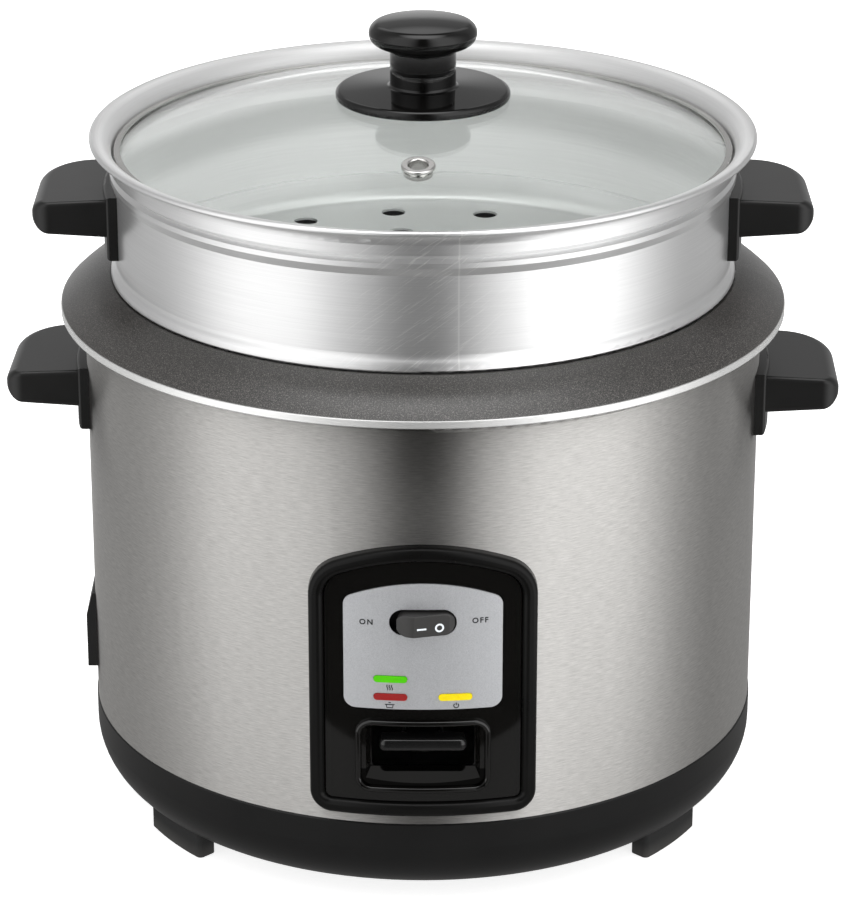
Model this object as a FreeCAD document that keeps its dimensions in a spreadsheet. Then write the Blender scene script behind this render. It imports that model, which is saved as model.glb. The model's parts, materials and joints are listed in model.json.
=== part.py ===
import FreeCAD, Part
import math
import operator
import os
import types

import Sketcher

# Rice cooker with an inner pot, a steamer basket and a glass lid.
# Millimetres, +Z up, the front with the control panel faces -Y, the feet stand on z = 0.

SIZES = {
    # base ring and feet
    "base_clearance": 8.0,
    "base_height": 33.0,
    "base_wall": 2.5,
    "base_round": 22.0,
    "base_overhang": 0.4,
    "base_chamfer": 0.7,
    "base_floor_width": 19.0,
    "spigot_height": 6.0,
    "cover_thickness": 1.0,
    "cover_overlap": 9.0,
    "vent_length": 26.0,
    "vent_width": 4.0,
    "vent_ring": 62.0,
    "vent_count": 12,
    "foot_inset": 2.0,
    "foot_width": 8.5,
    "foot_angle": 54.5,
    "foot_span": 17.0,
    "foot_rounding": 2.0,
    # sleeve and inner shell
    "sleeve_wall": 0.8,
    "air_gap": 8.3,
    "shell_wall": 0.8,
    "shell_corner": 6.0,
    "shell_port": 24.0,
    "sleeve_round": 2.0,
    "pot_gap": 2.6,
    # inner pot
    "pot_radius": 122.5,
    "pot_depth": 123.4,
    "pot_wall": 1.6,
    "pot_corner": 14.0,
    "rim_roll": 4.0,
    "rim_rise": 13.9,
    "rim_curve": 40.0,
    "lip_radius": 144.4,
    "lip_edge": 2.9,
    "lip_round": 0.3,
    "lip_gap": 3.0,
    # heating plate and its parts
    "plate_radius": 98.0,
    "plate_thickness": 10.0,
    "plate_boss": 3.2,
    "boss_width": 30.0,
    "boss_edge": 6.0,
    "plate_chamfer": 1.2,
    "tube_radius": 4.0,
    "tube_ring": 81.0,
    "tube_sweep": 318.0,
    "tube_depth": 4.7,
    "terminal_radius": 3.0,
    "terminal_drop": 14.0,
    "terminal_room": 1.5,
    "plate_screw_ring": 67.0,
    "plate_screw_reach": 8.0,
    "band_height": 15.0,
    "band_thickness": 1.5,
    "band_rise": 76.0,
    # sensor under the pot and the magnet that trips the lever
    "sensor_radius": 16.5,
    "sensor_room": 0.7,
    "sensor_wall": 1.0,
    "sensor_crown": 1.2,
    "sensor_gap": 0.3,
    "sensor_height": 18.7,
    "sensor_flange": 4.0,
    "sensor_flange_thickness": 1.5,
    "ferrite_radius": 13.0,
    "ferrite_thickness": 5.0,
    "magnet_radius": 12.5,
    "magnet_thickness": 6.0,
    "magnet_gap": 10.5,
    "spring_radius": 18.0,
    "spring_wire": 1.2,
    "spring_pitch": 3.2,
    "spring_room": 0.1,
    "spring_length": 13.0,
    "cup_radius": 27.0,
    "cup_wall": 1.2,
    "cup_flange": 8.0,
    "rod_radius": 4.0,
    "rod_room": 0.4,
    "collar_radius": 8.0,
    "collar_thickness": 2.0,
    "collar_gap": 5.4,
    "rod_travel_room": 8.0,
    # cook lever and its bracket
    "lever_rise": 30.7,
    "lever_headroom": 7.3,
    "lever_pad_half": 16.5,
    "lever_pad_height": 5.4,
    "lever_pad_depth": 9.0,
    "lever_pad_drop": 0.8,
    "lever_pad_round": 2.2,
    "lever_proud": 3.5,
    "lever_thickness": 3.0,
    "lever_half_width": 5.5,
    "lever_pivot_reach": 70.0,
    "lever_pivot_rise": 2.0,
    "lever_hub_radius": 4.5,
    "lever_hub_room": 0.3,
    "lever_fork_half": 10.5,
    "lever_fork_reach": 8.0,
    "lever_fork_room": 0.6,
    "pin_radius": 2.0,
    "pin_room": 0.06,
    "bracket_half_depth": 8.0,
    "bracket_wall": 1.5,
    "bracket_room": 1.5,
    "bracket_wing": 8.0,
    "bracket_foot": 6.0,
    "micro_length": 18.0,
    "micro_height": 10.0,
    "micro_width": 9.0,
    "blade_length": 7.0,
    "blade_width": 4.8,
    "blade_thickness": 0.8,
    "thermostat_radius": 8.0,
    "thermostat_height": 10.0,
    "thermostat_x": 45.0,
    "thermostat_y": 42.0,
    "fuse_radius": 2.2,
    "fuse_length": 22.0,
    "fuse_x": 30.0,
    # control panel
    "panel_gap": 5.0,
    "panel_half": 43.2,
    "panel_height": 111.8,
    "panel_crown": 85.0,
    "panel_shoulder": 16.3,
    "panel_corner": 8.5,
    "bezel_width": 5.7,
    "bezel_depth": 4.8,
    "bezel_round": 2.2,
    "bezel_groove": 0.4,
    "face_depth": 2.4,
    "window_inset": 9.5,
    "window_corner": 3.0,
    "badge_half": 30.0,
    "badge_rise": 45.1,
    "badge_height": 51.9,
    "badge_crown": 70.0,
    "badge_corner": 4.5,
    "badge_thickness": 0.5,
    "recess_half": 19.9,
    "recess_flare": 3.7,
    "recess_rise": 12.2,
    "recess_height": 25.9,
    "recess_corner": 4.0,
    "recess_lip": 2.2,
    "recess_lip_proud": 1.8,
    "recess_lip_round": 1.0,
    "recess_wall": 1.2,
    "recess_depth": 2.8,
    "ramp_rise": 6.4,
    "roof_drop": 1.2,
    "slot_half": 19.6,
    "slot_corner": 2.0,
    "lamp_half": 6.4,
    "lamp_half_height": 1.35,
    "lamp_spread": 12.3,
    "lamp_rise": 50.2,
    "lamp_pitch": 7.4,
    "lamp_proud": 0.4,
    "lamp_room": 0.1,
    "lamp_depth": 4.5,
    "board_thickness": 1.6,
    "board_margin": 3.0,
    "rocker_rise": 81.1,
    "rocker_slot_half": 12.7,
    "rocker_slot_half_height": 5.3,
    "rocker_half": 11.3,
    "rocker_shift": 0.9,
    "rocker_half_height": 4.4,
    "rocker_curve": 15.7,
    "rocker_crown": 5.0,
    "rocker_left": 40.0,
    "rocker_right": 54.0,
    "rocker_facet_start": -12.5,
    "rocker_facet_end": 40.0,
    "rocker_pivot_depth": 6.0,
    "rocker_tail": 2.3,
    "rocker_tail_half": 4.6,
    "rocker_pin_radius": 1.5,
    "rocker_pin_reach": 2.0,
    "rocker_edge": 0.5,
    "switch_wall": 2.6,
    "switch_room": 0.6,
    "switch_swing": 2.2,
    "switch_floor": 2.0,
    "switch_back_gap": 0.4,
    "trunnion_end_room": 0.3,
    # handles
    "handle_drop": 19.5,
    "handle_reach": 30.9,
    "handle_front_depth": 26.5,
    "handle_back_depth": 30.3,
    "body_handle_turn": 1.45,
    "handle_root": 16.0,
    "handle_tip": 12.3,
    "handle_droop": 1.6,
    "handle_front_corner": 7.0,
    "handle_back_corner": 20.0,
    "handle_side_edge": 1.6,
    "handle_tip_top": 5.2,
    "handle_tip_bottom": 6.4,
    "handle_plate": 4.2,
    "handle_plate_height": 25.8,
    "handle_plate_rise": 1.0,
    "handle_plate_margin": 0.7,
    "handle_plate_round": 1.2,
    "screw_radius": 1.75,
    "screw_head_radius": 3.5,
    "screw_head": 2.2,
    "screw_reach": 12.0,
    "screw_azimuth": 6.4,
    "screw_drop": 8.0,
    "screw_room": 0.15,
    # mains inlet on the left side
    "inlet_half": 19.5,
    "inlet_gap": 13.0,
    "inlet_height": 32.5,
    "inlet_front_height": 23.0,
    "inlet_proud": 2.6,
    "inlet_window_margin": 3.0,
    "inlet_depth": 26.0,
    "inlet_wall": 3.0,
    "inlet_back": 5.0,
    "inlet_lip": 6.0,
    "pin_spacing": 7.0,
    "prong_radius": 2.0,
    "prong_length": 10.0,
    "prong_tail": 7.0,
    # steamer basket
    "steamer_wall": 1.0,
    "steamer_room": 1.0,
    "steamer_drop": 11.4,
    "steamer_corner": 6.0,
    "seat_gap": 0.3,
    "bulge_step": 4.3,
    "bulge_height": 6.3,
    "bulge_foot": 0.8,
    "bulge_round": 5.5,
    "wall_step": 2.3,
    "steamer_straight": 30.8,
    "shoulder_step": 1.4,
    "shoulder_height": 3.2,
    "collar_height": 2.0,
    "groove_depth": 1.5,
    "groove_height": 3.0,
    "neck_height": 4.0,
    "flare_radius": 6.5,
    "rim_bead": 1.2,
    "hole_radius": 5.0,
    "hole_ring": 100.0,
    "hole_ring_step": 27.0,
    "hole_turn": 7.2,
    "steamer_handle_drop": 21.5,
    "rivet_radius": 2.0,
    "rivet_head_radius": 4.0,
    "rivet_head": 1.4,
    # lid
    "lid_room": 0.7,
    "lid_seat_gap": 0.4,
    "lid_band_wall": 0.7,
    "lid_band_height": 5.6,
    "lid_band_width": 2.7,
    "glass_thickness": 3.0,
    "glass_curve": 347.0,
    "glass_room": 0.1,
    "glass_hole": 4.0,
    "vent_offset": 72.5,
    "vent_turn": -1.4,
    "eyelet_radius": 6.5,
    "eyelet_neck": 4.6,
    "eyelet_bore": 3.7,
    "eyelet_flange": 1.2,
    "eyelet_tail": 1.5,
    "knob_base_radius": 34.4,
    "knob_base_edge": 3.6,
    "knob_base_rise": 4.7,
    "knob_neck_radius": 13.0,
    "knob_neck_fillet": 1.3,
    "knob_parting": 11.8,
    "knob_groove": 0.7,
    "knob_radius": 21.3,
    "knob_flare": 2.5,
    "knob_foot_round": 1.0,
    "knob_height": 19.9,
    "knob_crown_curve": 113.0,
    "knob_top_round": 4.3,
    "knob_under_round": 4.8,
    "knob_screw_radius": 2.5,
    "knob_screw_head": 3.0,
    "knob_screw_head_radius": 5.5,
    "knob_screw_reach": 16.0,
    "washer_radius": 9.0,
    "washer_thickness": 1.6,
}

doc = FreeCAD.newDocument("RiceCooker")
sheet = doc.addObject("Spreadsheet::Sheet", "Sizes")
for row, (alias, number) in enumerate(SIZES.items(), 1):
    sheet.set(f"A{row}", alias)
    sheet.set(f"B{row}", str(number))
    sheet.setAlias(f"B{row}", alias)
doc.recompute()


class Size:
    """A number that keeps the sheet expression it comes from."""

    def __init__(self, value, text):
        self.value = float(value)
        self.text = text

    def __add__(self, other):
        return join(self, "+", other)

    def __radd__(self, other):
        return join(other, "+", self)

    def __sub__(self, other):
        return join(self, "-", other)

    def __rsub__(self, other):
        return join(other, "-", self)

    def __mul__(self, other):
        return join(self, "*", other)

    def __rmul__(self, other):
        return join(other, "*", self)

    def __truediv__(self, other):
        return join(self, "/", other)

    def __neg__(self):
        return join(0, "-", self)


SIGNS = {"+": operator.add, "-": operator.sub, "*": operator.mul, "/": operator.truediv}


def as_size(number):
    return number if isinstance(number, Size) else Size(number, f"{number}")


def join(left, sign, right):
    left = as_size(left)
    right = as_size(right)
    return Size(SIGNS[sign](left.value, right.value), f"({left.text} {sign} {right.text})")


def root_of(size):
    return Size(math.sqrt(size.value), f"sqrt({size.text})")


def sine(angle):
    return Size(math.sin(math.radians(angle.value)), f"sin({angle.text} * 1 deg)")


def cosine(angle):
    return Size(math.cos(math.radians(angle.value)), f"cos({angle.text} * 1 deg)")


S = types.SimpleNamespace(**{alias: Size(number, "Sizes." + alias) for alias, number in SIZES.items()})
pieces = []


def keep(item):
    """Names the finished sub-part as one of the object's pieces."""
    pieces.append(item)
    return item


def bind(item, field, size):
    item.setExpression(field, as_size(size).text)


# Sketch helpers

def pin_point(sketch, geo, end, x, y):
    """Ties one point of a sketch to sheet sizes, measured from the sketch origin."""
    for kind, axis, size in (("DistanceX", -2, as_size(x)), ("DistanceY", -1, as_size(y))):
        if size.text == "0":
            sketch.addConstraint(Sketcher.Constraint("PointOnObject", geo, end, axis))
            continue
        index = sketch.addConstraint(Sketcher.Constraint(kind, -1, 1, geo, end, size.value))
        sketch.setExpression(f"Constraints[{index}]", size.text)


def arc_between(start, end, radius):
    """The short arc from start to end; a positive radius turns left."""
    chord = end - start
    middle = (start + end) * 0.5
    reach = math.sqrt(max(radius * radius - chord.Length ** 2 / 4, 0.0))
    left = FreeCAD.Vector(-chord.y, chord.x, 0).normalize()
    centre = middle + left * math.copysign(reach, radius)
    circle = Part.Circle(centre, FreeCAD.Vector(0, 0, 1), abs(radius))
    first, last = (start, end) if radius > 0 else (end, start)
    angles = [math.atan2(point.y - centre.y, point.x - centre.x) for point in (first, last)]
    return Part.ArcOfCircle(circle, angles[0], angles[1])


def draw(sketch, points):
    """Closes a loop of lines and arcs. A third value of a point is the radius of the arc arriving there."""
    spots = [FreeCAD.Vector(as_size(p[0]).value, as_size(p[1]).value, 0) for p in points]
    runs = []
    for index, point in enumerate(points):
        start, end = spots[index - 1], spots[index]
        if len(point) == 2:
            runs.append((sketch.addGeometry(Part.LineSegment(start, end)), 1, 2))
            continue
        radius = as_size(point[2])
        geo = sketch.addGeometry(arc_between(start, end, radius.value))
        runs.append((geo, 1, 2) if radius.value > 0 else (geo, 2, 1))
    for index, (geo, first, last) in enumerate(runs):
        after, after_first, _ = runs[(index + 1) % len(runs)]
        sketch.addConstraint(Sketcher.Constraint("Coincident", geo, last, after, after_first))
        pin_point(sketch, geo, last, points[index][0], points[index][1])
        if len(points[index]) == 3:
            radius = as_size(points[index][2])
            size = radius if radius.value > 0 else -radius
            place = sketch.addConstraint(Sketcher.Constraint("Radius", geo, size.value))
            sketch.setExpression(f"Constraints[{place}]", size.text)


def ring(sketch, x, y, radius):
    """Adds a full circle to a sketch."""
    circle = Part.Circle(FreeCAD.Vector(as_size(x).value, as_size(y).value, 0), FreeCAD.Vector(0, 0, 1),
                         radius.value)
    geo = sketch.addGeometry(circle)
    pin_point(sketch, geo, 3, x, y)
    place = sketch.addConstraint(Sketcher.Constraint("Radius", geo, radius.value))
    sketch.setExpression(f"Constraints[{place}]", radius.text)


def sketch_on(body, plane, name, offset=0):
    support = next(item for item in body.Origin.OriginFeatures if item.Role == plane)
    sketch = body.newObject("Sketcher::SketchObject", name)
    sketch.AttachmentSupport = [(support, "")]
    sketch.MapMode = "FlatFace"
    bind(sketch, "AttachmentOffset.Base.z", offset)
    return sketch


def turned(label, points):
    """A body turned about Z from a half section of (radius, height) points."""
    body = doc.addObject("PartDesign::Body", label)
    sketch = sketch_on(body, "XZ_Plane", label + "_section")
    draw(sketch, points)
    turn = body.newObject("PartDesign::Revolution", label + "_turn")
    turn.Profile = sketch
    turn.ReferenceAxis = (sketch, ["V_Axis"])
    turn.Angle = 360
    return body


def prism(label, plane, loops, start, length):
    """A body padded from closed loops; XZ sketches pad towards the front, YZ ones towards +X."""
    body = doc.addObject("PartDesign::Body", label)
    sketch = sketch_on(body, plane, label + "_outline", start)
    for loop in loops:
        draw(sketch, loop)
    pad = body.newObject("PartDesign::Pad", label + "_pad")
    pad.Profile = sketch
    bind(pad, "Length", length)
    return body


def ring_of_holes(body, name, circle, count):
    """Cuts one round hole through the body and repeats it about Z."""
    sketch = sketch_on(body, "XY_Plane", name)
    ring(sketch, *circle)
    pocket = body.newObject("PartDesign::Pocket", name + "_cut")
    pocket.Profile = sketch
    pocket.Type = "ThroughAll"
    pocket.Reversed = True
    repeat(body, pocket, name, count)


def repeat(body, feature, name, count):
    pattern = body.newObject("PartDesign::PolarPattern", name + "_pattern")
    pattern.Originals = [feature]
    pattern.Axis = (next(item for item in body.Origin.OriginFeatures if item.Role == "Z_Axis"), [""])
    pattern.Angle = 360
    bind(pattern, "Occurrences", count)
    body.Tip = pattern


# Solid helpers

def box(name, x, y, z):
    """A block between (low, high) pairs."""
    item = doc.addObject("Part::Box", name)
    for field, axis, (low, high) in zip(("Length", "Width", "Height"), "xyz", (x, y, z)):
        bind(item, field, as_size(high) - low)
        bind(item, "Placement.Base." + axis, low)
    return item


AXES = {
    "x": FreeCAD.Rotation(FreeCAD.Vector(0, 1, 0), 90),
    "y": FreeCAD.Rotation(FreeCAD.Vector(1, 0, 0), -90),
    "z": FreeCAD.Rotation(),
}


def rod(name, radius, axis, start, length):
    """A cylinder from a start point along +X, +Y or +Z."""
    item = doc.addObject("Part::Cylinder", name)
    item.Placement = FreeCAD.Placement(FreeCAD.Vector(), AXES[axis])
    bind(item, "Radius", radius)
    bind(item, "Height", length)
    for letter, size in zip("xyz", start):
        bind(item, "Placement.Base." + letter, size)
    return item


def tube(name, inner, outer, low, high):
    return turned(name, [(inner, low), (outer, low), (outer, high), (inner, high)])


def fuse(label, *items):
    joined = doc.addObject("Part::MultiFuse", label)
    joined.Shapes = list(items)
    return joined


def cut(label, base, *tools):
    item = doc.addObject("Part::Cut", label)
    item.Base = base
    item.Tool = tools[0] if len(tools) == 1 else fuse(label + "_tools", *tools)
    return item


def common(label, first, second):
    item = doc.addObject("Part::Common", label)
    item.Base = first
    item.Tool = second
    return item


def group(label, items):
    item = doc.addObject("Part::Compound", label)
    item.Links = list(items)
    return item


def rounded(label, base, radii_of):
    """Rounds the edges for which radii_of gives a (start, end) pair of radii."""
    doc.recompute()
    item = doc.addObject("Part::Fillet", label)
    item.Base = base
    choices = [(index, radii_of(edge)) for index, edge in enumerate(base.Shape.Edges, 1)]
    item.Edges = [(index, *radii) for index, radii in choices if radii]
    return item


def turn_about_z(item, angle):
    item.Placement = FreeCAD.Placement(FreeCAD.Vector(), FreeCAD.Rotation(FreeCAD.Vector(0, 0, 1), angle))
    return item


# Heights and radii that the pieces share, stacked from the ground up and from the pot outwards

base_bottom = S.base_clearance
base_top = base_bottom + S.base_height
panel_bottom = base_top + S.panel_gap
panel_top = panel_bottom + S.panel_height
lever_z = panel_bottom + S.lever_rise
shell_bottom = lever_z + S.lever_headroom
shell_floor = shell_bottom + S.shell_wall
plate_bottom = shell_floor + S.plate_boss
plate_top = plate_bottom + S.plate_thickness
pot_bottom = plate_top
pot_top = pot_bottom + S.pot_depth
pot_lip = pot_top - S.rim_rise
sleeve_top = pot_lip - S.lip_gap

pot_inner = S.pot_radius - S.pot_wall
shell_inner = S.pot_radius + S.pot_gap
shell_outer = shell_inner + S.shell_wall
sleeve_inner = shell_outer + S.air_gap
sleeve_radius = sleeve_inner + S.sleeve_wall
base_radius = sleeve_radius + S.base_overhang
face_radius = sleeve_radius + S.face_depth
badge_radius = face_radius + S.badge_thickness


# Base ring: outer section shared by the ring and by the feet that end on its curved underside

base_flat = base_radius - S.base_round
base_outside = [
    (base_flat, base_bottom),
    (base_radius, base_bottom + S.base_round, S.base_round),
    (base_radius, base_top - S.base_chamfer),
    (base_radius - S.base_chamfer, base_top),
]
base_inner_flat = base_flat - S.base_floor_width
base_turned = turned("base_turned", base_outside + [
    (sleeve_inner, base_top),
    (sleeve_inner, base_top + S.spigot_height),
    (sleeve_inner - S.base_wall, base_top + S.spigot_height),
    (sleeve_inner - S.base_wall, base_bottom + S.base_round),
    (base_flat, base_bottom + S.base_wall, -(S.base_round + sleeve_inner - S.base_wall - base_radius)),
    (base_inner_flat, base_bottom + S.base_wall),
    (base_inner_flat, base_bottom),
])


# Screws and holes that run up through level walls

def at_angle(item, angle):
    """Turns a finished piece about the cooker's axis."""
    return turn_about_z(group(item.Label + "_turned", [item]), angle)


def drills(name, low, high, radius, distance, angles):
    """Upright holes at one distance from the axis, fused into one cutting tool."""
    holes = [rod(f"{name}_{angle}", radius, "z", (distance, 0, low), high - low) for angle in angles]
    return fuse(name, *[at_angle(hole, angle) for hole, angle in zip(holes, angles)])


def screws_up(name, seat, reach, radius, distance, angles):
    """Screws put in from below with their heads under the seat height."""
    made = []
    for angle in angles:
        shank = rod(f"{name}_shank_{angle}", radius, "z", (distance, 0, seat), reach)
        head = rod(f"{name}_head_{angle}", S.screw_head_radius, "z", (distance, 0, seat - S.screw_head),
                   S.screw_head)
        made.append(turn_about_z(fuse(f"{name}_{angle}", shank, head), angle))
    return group(name, made)


# Base ring with its floor, the steel bottom cover on that floor, its screws and the four feet

BASE_SCREW_ANGLES = (0, 90, 180, 270)
base_screw_ring = base_inner_flat + S.cover_overlap / 2
cover_bottom = base_bottom + S.base_wall
cover_top = cover_bottom + S.cover_thickness
base_drills = drills("base_drills", base_bottom, cover_top, S.screw_radius, base_screw_ring,
                     BASE_SCREW_ANGLES)
keep(cut("base_shell", base_turned, base_drills))

cover_disc = turned("cover_disc", [
    (0, cover_bottom),
    (base_inner_flat + S.cover_overlap, cover_bottom),
    (base_inner_flat + S.cover_overlap, cover_top),
    (0, cover_top),
])
vent_sketch = sketch_on(cover_disc, "XY_Plane", "cover_vent")
draw(vent_sketch, [
    (S.vent_ring - S.vent_length / 2, -S.vent_width / 2),
    (S.vent_ring + S.vent_length / 2, -S.vent_width / 2),
    (S.vent_ring + S.vent_length / 2, S.vent_width / 2),
    (S.vent_ring - S.vent_length / 2, S.vent_width / 2),
])
vent_cut = cover_disc.newObject("PartDesign::Pocket", "cover_vent_cut")
vent_cut.Profile = vent_sketch
vent_cut.Type = "ThroughAll"
vent_cut.Reversed = True
repeat(cover_disc, vent_cut, "cover_vent", S.vent_count)
keep(cut("bottom_cover", cover_disc, base_drills))
keep(screws_up("base_screws", base_bottom, S.base_wall + S.cover_thickness, S.screw_radius,
               base_screw_ring, BASE_SCREW_ANGLES))

base_solid = turned("base_solid", base_outside + [(0, base_top), (0, base_bottom)])
foot_outer = base_flat + S.foot_inset + S.foot_width
feet = []
for index, side in enumerate((-90, 90)):
    for hand in (-1, 1):
        name = f"foot_{index}_{'left' if hand < 0 else 'right'}"
        sector = rod(name + "_sector", foot_outer, "z", (0, 0, 0), base_bottom + S.base_round)
        bind(sector, "Angle", S.foot_span)
        core = rod(name + "_core", foot_outer - S.foot_width, "z", (0, 0, 0), base_bottom + S.base_round)
        block = rounded(name + "_rounded", cut(name + "_block", sector, core),
                        lambda edge: (S.foot_rounding.value,) * 2
                        if abs(edge.tangentAt(edge.FirstParameter).z) > 0.9 else None)
        foot = cut(name, block, base_solid)
        feet.append(turn_about_z(foot, side + hand * S.foot_angle.value - S.foot_span.value / 2))
keep(group("feet", feet))


# Outlines of the control panel, seen from the front

def arched(half, low, high, crown, shoulder, corner):
    """Round lower corners, round shoulders and a crowned top that meet without a kink."""
    crown_z = high - crown
    span = crown - shoulder
    side = half - shoulder
    shoulder_z = crown_z + root_of(span * span - side * side)
    touch_x = side * crown / span
    touch_z = crown_z + (shoulder_z - crown_z) * crown / span
    return [
        (-half + corner, low, corner),
        (half - corner, low),
        (half, low + corner, corner),
        (half, shoulder_z),
        (touch_x, touch_z, shoulder),
        (-touch_x, touch_z, crown),
        (-half, shoulder_z, shoulder),
        (-half, low + corner),
    ]


def panel_outline(inset, corner):
    """The bezel's outline moved inwards."""
    return arched(S.panel_half - inset, panel_bottom + inset, panel_top - inset, S.panel_crown - inset,
                  S.panel_shoulder - inset, corner)


def stadium(x, z, half, half_height):
    flat = half - half_height
    return [
        (x - flat, z - half_height, half_height),
        (x + flat, z - half_height),
        (x + half, z, half_height),
        (x + flat, z + half_height, half_height),
        (x - flat, z + half_height),
        (x - half, z, half_height),
    ]


def round_rect(half, low, high, corner):
    return [
        (-half + corner, low, corner),
        (half - corner, low),
        (half, low + corner, corner),
        (half, high - corner),
        (half - corner, high, corner),
        (-half + corner, high),
        (-half, high - corner, corner),
        (-half, low + corner),
    ]


front_start = sleeve_radius - S.panel_half
front_length = S.panel_half * 2


def front_prism(name, *loops):
    """Outlines carried straight through the front of the cooker."""
    return prism(name, "XZ_Plane", loops, front_start, front_length)


def curved(label, inner, outer, *loops):
    """A plate with a front outline, bent round the cooker between two radii."""
    layer = tube(label + "_layer", inner, outer, base_bottom, sleeve_top)
    return common(label, front_prism(label + "_front", *loops), layer)


def on_radius(edge, radius):
    return all(abs(math.hypot(v.X, v.Y) - radius.value) < 0.01 for v in edge.Vertexes)


# Steel sleeve with its panel window, inlet window and handle holes

inlet_bottom = base_top + S.inlet_gap
inlet_top = inlet_bottom + S.inlet_height
inlet_core_half = S.inlet_half - S.inlet_window_margin
inlet_core_low = inlet_bottom + S.inlet_window_margin
inlet_core_high = inlet_top - S.inlet_lip
handle_top = sleeve_top - S.handle_drop
HANDLE_SIDES = {"right": 0, "left": 180}
BODY_HANDLE_SIDES = {hand: side - S.body_handle_turn.value for hand, side in HANDLE_SIDES.items()}


def side_drills(name, start, reach, radius, height, sides=(0,)):
    """Holes that point outwards at both screw azimuths of each handle."""
    holes = []
    for index, side in enumerate(sides):
        for hand in (-1, 1):
            hole = rod(f"{name}_{index}_{hand}", radius, "x", (start, 0, height), reach)
            holes.append(at_angle(hole, side + hand * S.screw_azimuth.value))
    return fuse(name, *holes)


sleeve_turned = turned("sleeve_turned", [
    (sleeve_inner, base_top),
    (sleeve_radius, base_top),
    (sleeve_radius, sleeve_top - S.sleeve_round),
    (sleeve_radius - S.sleeve_round, sleeve_top, S.sleeve_round),
    (shell_inner, sleeve_top),
    (shell_inner, sleeve_top - S.sleeve_wall),
    (sleeve_radius - S.sleeve_round, sleeve_top - S.sleeve_wall),
    (sleeve_inner, sleeve_top - S.sleeve_round, S.sleeve_wall - S.sleeve_round),
])
sleeve_window = front_prism("sleeve_window", panel_outline(S.window_inset, S.window_corner))
inlet_core_box = ((-(sleeve_radius + S.inlet_proud / 2), S.inlet_depth - sleeve_radius),
                  (-inlet_core_half, inlet_core_half), (inlet_core_low, inlet_core_high))
inlet_window = box("inlet_window", *inlet_core_box)
screw_z = handle_top - S.screw_drop
sleeve_holes = side_drills("sleeve_holes", sleeve_inner - S.screw_head, S.screw_head * 2,
                           S.screw_radius + S.screw_room, screw_z, BODY_HANDLE_SIDES.values())
keep(cut("outer_housing", sleeve_turned, sleeve_window, inlet_window, sleeve_holes))


# Inner shell that hangs from the sleeve's top edge and carries the heating plate

plate_screw_angles = (90, 210, 330)
shell_turned = turned("shell_turned", [
    (S.shell_port, shell_bottom),
    (shell_outer - S.shell_corner, shell_bottom),
    (shell_outer, shell_bottom + S.shell_corner, S.shell_corner),
    (shell_outer, sleeve_top - S.sleeve_wall - S.shell_wall),
    (sleeve_radius - S.sleeve_round, sleeve_top - S.sleeve_wall - S.shell_wall),
    (sleeve_radius - S.sleeve_round, sleeve_top - S.sleeve_wall),
    (shell_inner, sleeve_top - S.sleeve_wall),
    (shell_inner, shell_bottom + S.shell_corner),
    (shell_outer - S.shell_corner, shell_floor, S.shell_wall - S.shell_corner),
    (S.shell_port, shell_floor),
])
tube_z = plate_top - S.tube_depth - S.tube_radius
TUBE_TURN = 135
tube_gap = (360 - S.tube_sweep.value) / 2
tube_ends = (TUBE_TURN + tube_gap, TUBE_TURN - tube_gap)
rivet_x = S.lever_half_width + S.bracket_room + S.bracket_wall + S.bracket_wing / 2
plate_screw_holes = drills("plate_screw_holes", shell_bottom, shell_floor + S.plate_screw_reach,
                           S.screw_radius, S.plate_screw_ring, plate_screw_angles)
terminal_holes = drills("terminal_holes", shell_bottom, plate_bottom, S.terminal_radius + S.terminal_room,
                        S.tube_ring, tube_ends)
rivet_holes = fuse("rivet_holes", *[
    rod(f"rivet_hole_{hand}", S.screw_radius, "z", (hand * rivet_x, -S.lever_pivot_reach, shell_bottom
                                                    - S.bracket_wall), S.bracket_wall + S.shell_wall)
    for hand in (-1, 1)])
keep(cut("inner_shell", shell_turned, plate_screw_holes, terminal_holes, rivet_holes))


# Cast heating plate on its ring boss, with the tubular element cast into the boss

plate_turned = turned("plate_turned", [
    (S.sensor_radius + S.sensor_room, plate_bottom),
    (S.plate_radius - S.boss_edge - S.boss_width, plate_bottom),
    (S.plate_radius - S.boss_edge - S.boss_width, shell_floor),
    (S.plate_radius - S.boss_edge, shell_floor),
    (S.plate_radius - S.boss_edge, plate_bottom),
    (S.plate_radius, plate_bottom),
    (S.plate_radius, plate_top - S.plate_chamfer),
    (S.plate_radius - S.plate_chamfer, plate_top),
    (S.sensor_radius + S.sensor_room, plate_top),
])


def element(name, end_radius):
    """The bent tube with its two ends pointing down."""
    bow = doc.addObject("Part::Torus", name + "_bow")
    bind(bow, "Radius1", S.tube_ring)
    bind(bow, "Radius2", S.tube_radius)
    bind(bow, "Angle3", S.tube_sweep)
    bind(bow, "Placement.Base.z", tube_z)
    bow_turned = at_angle(bow, tube_ends[0])
    ends = drills(name + "_ends", shell_bottom - S.terminal_drop, tube_z, end_radius, S.tube_ring, tube_ends)
    return fuse(name, bow_turned, ends)


keep(cut("heating_plate", plate_turned, element("element_bed", S.terminal_radius), plate_screw_holes))
keep(element("heater_element", S.terminal_radius))
keep(screws_up("plate_screws", shell_bottom, S.shell_wall + S.plate_screw_reach, S.screw_radius,
               S.plate_screw_ring, plate_screw_angles))
band_low = plate_top + S.band_rise
keep(tube("warming_band", shell_outer, shell_outer + S.band_thickness, band_low, band_low + S.band_height))


# Spring-loaded sensor in the middle of the plate, in a cup under the shell floor

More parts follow.
